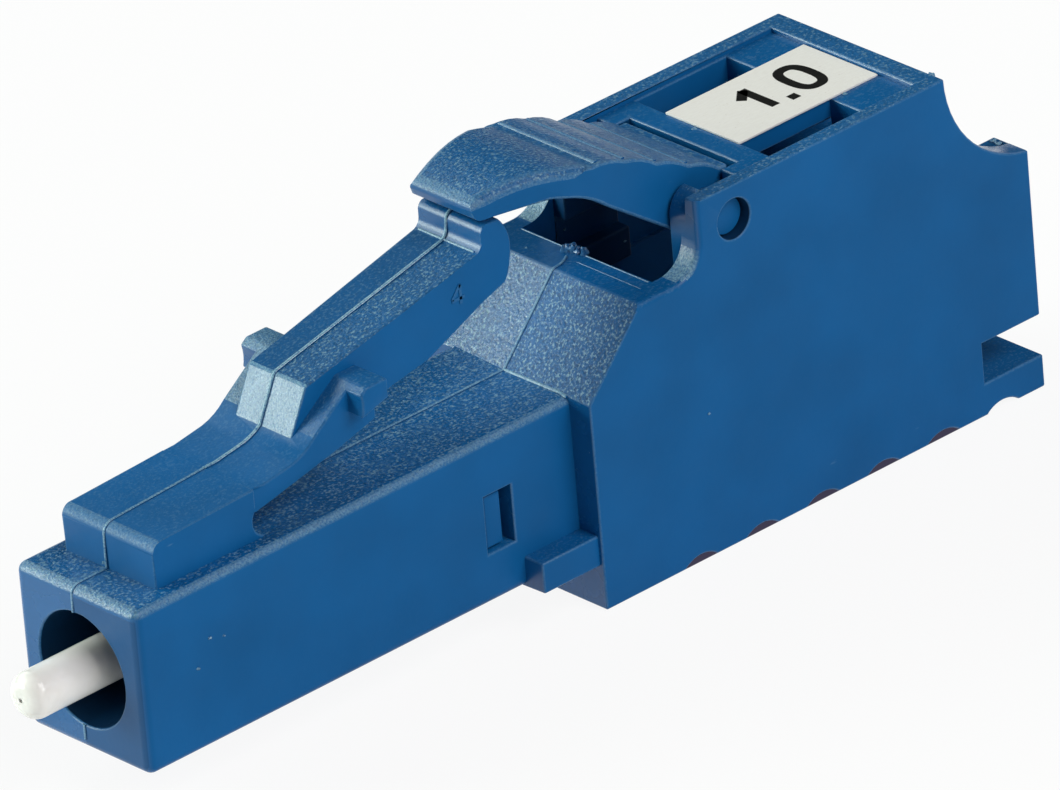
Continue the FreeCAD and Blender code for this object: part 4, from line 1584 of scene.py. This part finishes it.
@dataclass(frozen=True)
class PhotoCamera:
    """Camera at the photograph's place. Angles are in degrees, distances in millimetres.

    Attributes:
        azimuth: turn about Z; 0 looks along +Y.
        elevation: angle above the floor.
        roll: turn about the line of sight.
        place: camera's place in the shared frame.
        focal_pixels: focal length in pixels of the photograph.
        image_width: width of the photograph in pixels.
        nearest: nearest distance that it shows.
    """

    azimuth: float = -40.736
    elevation: float = 27.483
    roll: float = -5.003
    place: Point = (-266.828, -311.305, 218.471)
    focal_pixels: float = 18776.7
    image_width: int = 1060
    nearest: float = 10.0

    def build(self) -> None:
        """Puts the camera into the scene."""
        turn, roll = math.radians(self.azimuth), math.radians(self.roll)
        back = direction(self.azimuth, self.elevation)
        level = Vector((math.cos(turn), math.sin(turn), 0.0))
        above = back.cross(level)
        right = level * math.cos(roll) + above * math.sin(roll)
        up = above * math.cos(roll) - level * math.sin(roll)
        data = bpy.data.cameras.new("photo_camera")
        data.lens = data.sensor_width * self.focal_pixels / self.image_width
        data.clip_start = self.nearest * MM
        camera = linked("photo_camera", data)
        axes = Matrix((right, up, back)).transposed().to_4x4()
        camera.matrix_world = Matrix.Translation(Vector(self.place) * MM) @ axes
        bpy.context.scene.camera = camera


@dataclass(frozen=True)
class Softbox:
    """Square studio lamp that faces the object.

    Attributes:
        name: name of the lamp.
        azimuth: direction from the object in degrees, as for the camera.
        elevation: height of that direction in degrees.
        level: light that it gives a white face turned to it, where 1 is plain white.
        colour: tint of its light.
        size: width of the lamp, in metres.
        distance: distance from the object, in metres.
    """

    name: str
    azimuth: float
    elevation: float
    level: float
    colour: Colour = WHITE
    size: float = 0.25
    distance: float = 0.40

    def build(self, aim: Vector) -> None:
        """Puts the lamp into the scene.

        Args:
            aim: the point that it faces.
        """
        way = direction(self.azimuth, self.elevation)
        data = bpy.data.lights.new(self.name, "AREA")
        data.size = self.size
        data.energy = self.level * (math.pi * self.distance) ** 2
        data.color = self.colour
        lamp = linked(self.name, data)
        lamp.location = aim + way * self.distance
        lamp.rotation_euler = way.to_track_quat("Z", "Y").to_euler()


@dataclass(frozen=True)
class Studio:
    """Pale floor, soft lamps and an even surround.

    Attributes:
        surround: brightness of the world.
        floor_colour: colour of the floor.
        painted_shadow_colour: colour of the painted shadow on the floor under the shell, which the grip
            grooves show.
        floor_white: share of plain white that the camera sees on the floor around the object.
        shade_start: X where that shade begins, in metres.
        shade_end: X where it ends, in metres.
        shade_blur: width of its soft edge, in metres.
        shade_inset: how far it stays inside the object's sides, in metres.
        floor_size: width of the floor, in metres.
        floor_gap: gap between the object and the floor, in metres.
        lamps: the lamps.
    """

    surround: float = 0.02
    floor_colour: Colour = (0.86, 0.86, 0.86)
    painted_shadow_colour: Colour = (0.055, 0.05, 0.085)
    floor_white: float = 0.90
    shade_start: float = DATUM.x(14.43)
    shade_end: float = DATUM.x(27.6)
    shade_blur: float = 0.02 * MM
    shade_inset: float = 0.06 * MM
    floor_size: float = 6.0
    floor_gap: float = 0.02 * MM
    lamps: tuple[Softbox, ...] = (
        Softbox("key_lamp", 12.0, 45.0, 0.67),
        Softbox("front_lamp", -10.0, 10.0, 0.20),
        Softbox("low_back_lamp", -135.0, 5.0, 1.0, COOL_WHITE),
        Softbox("high_back_lamp", -140.0, 32.0, 0.55, COOL_WHITE),
        Softbox("rim_lamp", 172.0, 31.0, 0.22, COOL_WHITE),
        Softbox("right_lamp", 90.0, 25.0, 0.13),
    )

    def build(self) -> None:
        """Builds the studio around the object."""
        aim = (Vector(CAD_BOX[0]) + Vector(CAD_BOX[1])) / 2.0
        for lamp in self.lamps:
            lamp.build(aim)
        self.floor()
        world = bpy.data.worlds.new("even_surround")
        world.use_nodes = True
        surround = world.node_tree.nodes["Background"]
        surround.inputs["Color"].default_value = opaque(WHITE)
        surround.inputs["Strength"].default_value = self.surround
        bpy.context.scene.world = world
        bpy.context.scene.view_settings.view_transform = "Standard"

    def floor(self) -> None:
        """Lays the floor, nearly white to the camera and mirrors, with the object's shadow on it and a
        painted shadow under the shell.
        """
        half = self.floor_size / 2.0
        corners = np.array([(-half, -half), (half, -half), (half, half), (-half, half)])
        points = np.column_stack([corners, np.full(4, -self.floor_gap)])
        mesh = bpy.data.meshes.new("studio_floor")
        mesh.from_pydata(points.tolist(), [], [(0, 1, 2, 3)])
        floor = linked("studio_floor", mesh)
        board = NodeBoard("studio_floor")
        # painted shadow under the shell, in both the lit floor colour and the plain white that the camera
        # sees
        under = self.under_shell(board)
        tone = board.mix(under, opaque(self.floor_colour), opaque(self.painted_shadow_colour))
        lit = board.add("ShaderNodeBsdfDiffuse", {"Color": tone})
        plain = board.mix(under, opaque(WHITE), opaque(self.painted_shadow_colour))
        white = board.add("ShaderNodeEmission", {"Color": plain, "Strength": 1.0})
        path = board.add("ShaderNodeLightPath").outputs
        mirrored = board.math("MAXIMUM", path["Is Glossy Ray"], path["Is Transmission Ray"])
        seen = board.math("MAXIMUM", path["Is Camera Ray"], mirrored)
        share = board.math("MULTIPLY", seen, self.floor_white)
        shades = {0: share, 1: lit.outputs["BSDF"], 2: white.outputs["Emission"]}
        blend = board.add("ShaderNodeMixShader", shades)
        board.tree.links.new(blend.outputs["Shader"], board.output.inputs["Surface"])
        mesh.materials.append(board.material)

    def under_shell(self, board: NodeBoard) -> bpy.types.NodeSocket:
        """Marks where the floor gets its painted shadow under the shell, which the grip grooves show, with 1
        inside and 0 outside.

        Args:
            board: the floor's board.

        Returns:
            The mark.
        """
        places = board.add("ShaderNodeSeparateXYZ", {0: board.coordinates()}).outputs
        middle = (self.shade_start + self.shade_end) / 2.0
        along = board.math("ABSOLUTE", board.math("SUBTRACT", places["X"], middle), 0.0)
        across = board.math("ABSOLUTE", places["Y"], 0.0)
        half_length, half_width = self.shade_end - middle, CAD_BOX[1][1] - self.shade_inset
        lengthwise, crosswise = (
            board.between(way, half - self.shade_blur, half, 1.0, 0.0)
            for way, half in ((along, half_length), (across, half_width))
        )
        return board.math("MULTIPLY", lengthwise, crosswise)


def main() -> None:
    """Builds the object, the camera and the studio."""
    logging.basicConfig(level=logging.INFO, format="%(message)s")
    finishes = Finishes()
    HousingMoulding().build(finishes)
    LatchSpring().build(finishes)
    TriggerLever().build(finishes)
    OpticalStub().build(finishes)
    SleeveInsert().build(finishes)
    LabelStrip().build(finishes)
    PhotoCamera().build()
    Studio().build()


if __name__ == "__main__":
    main()
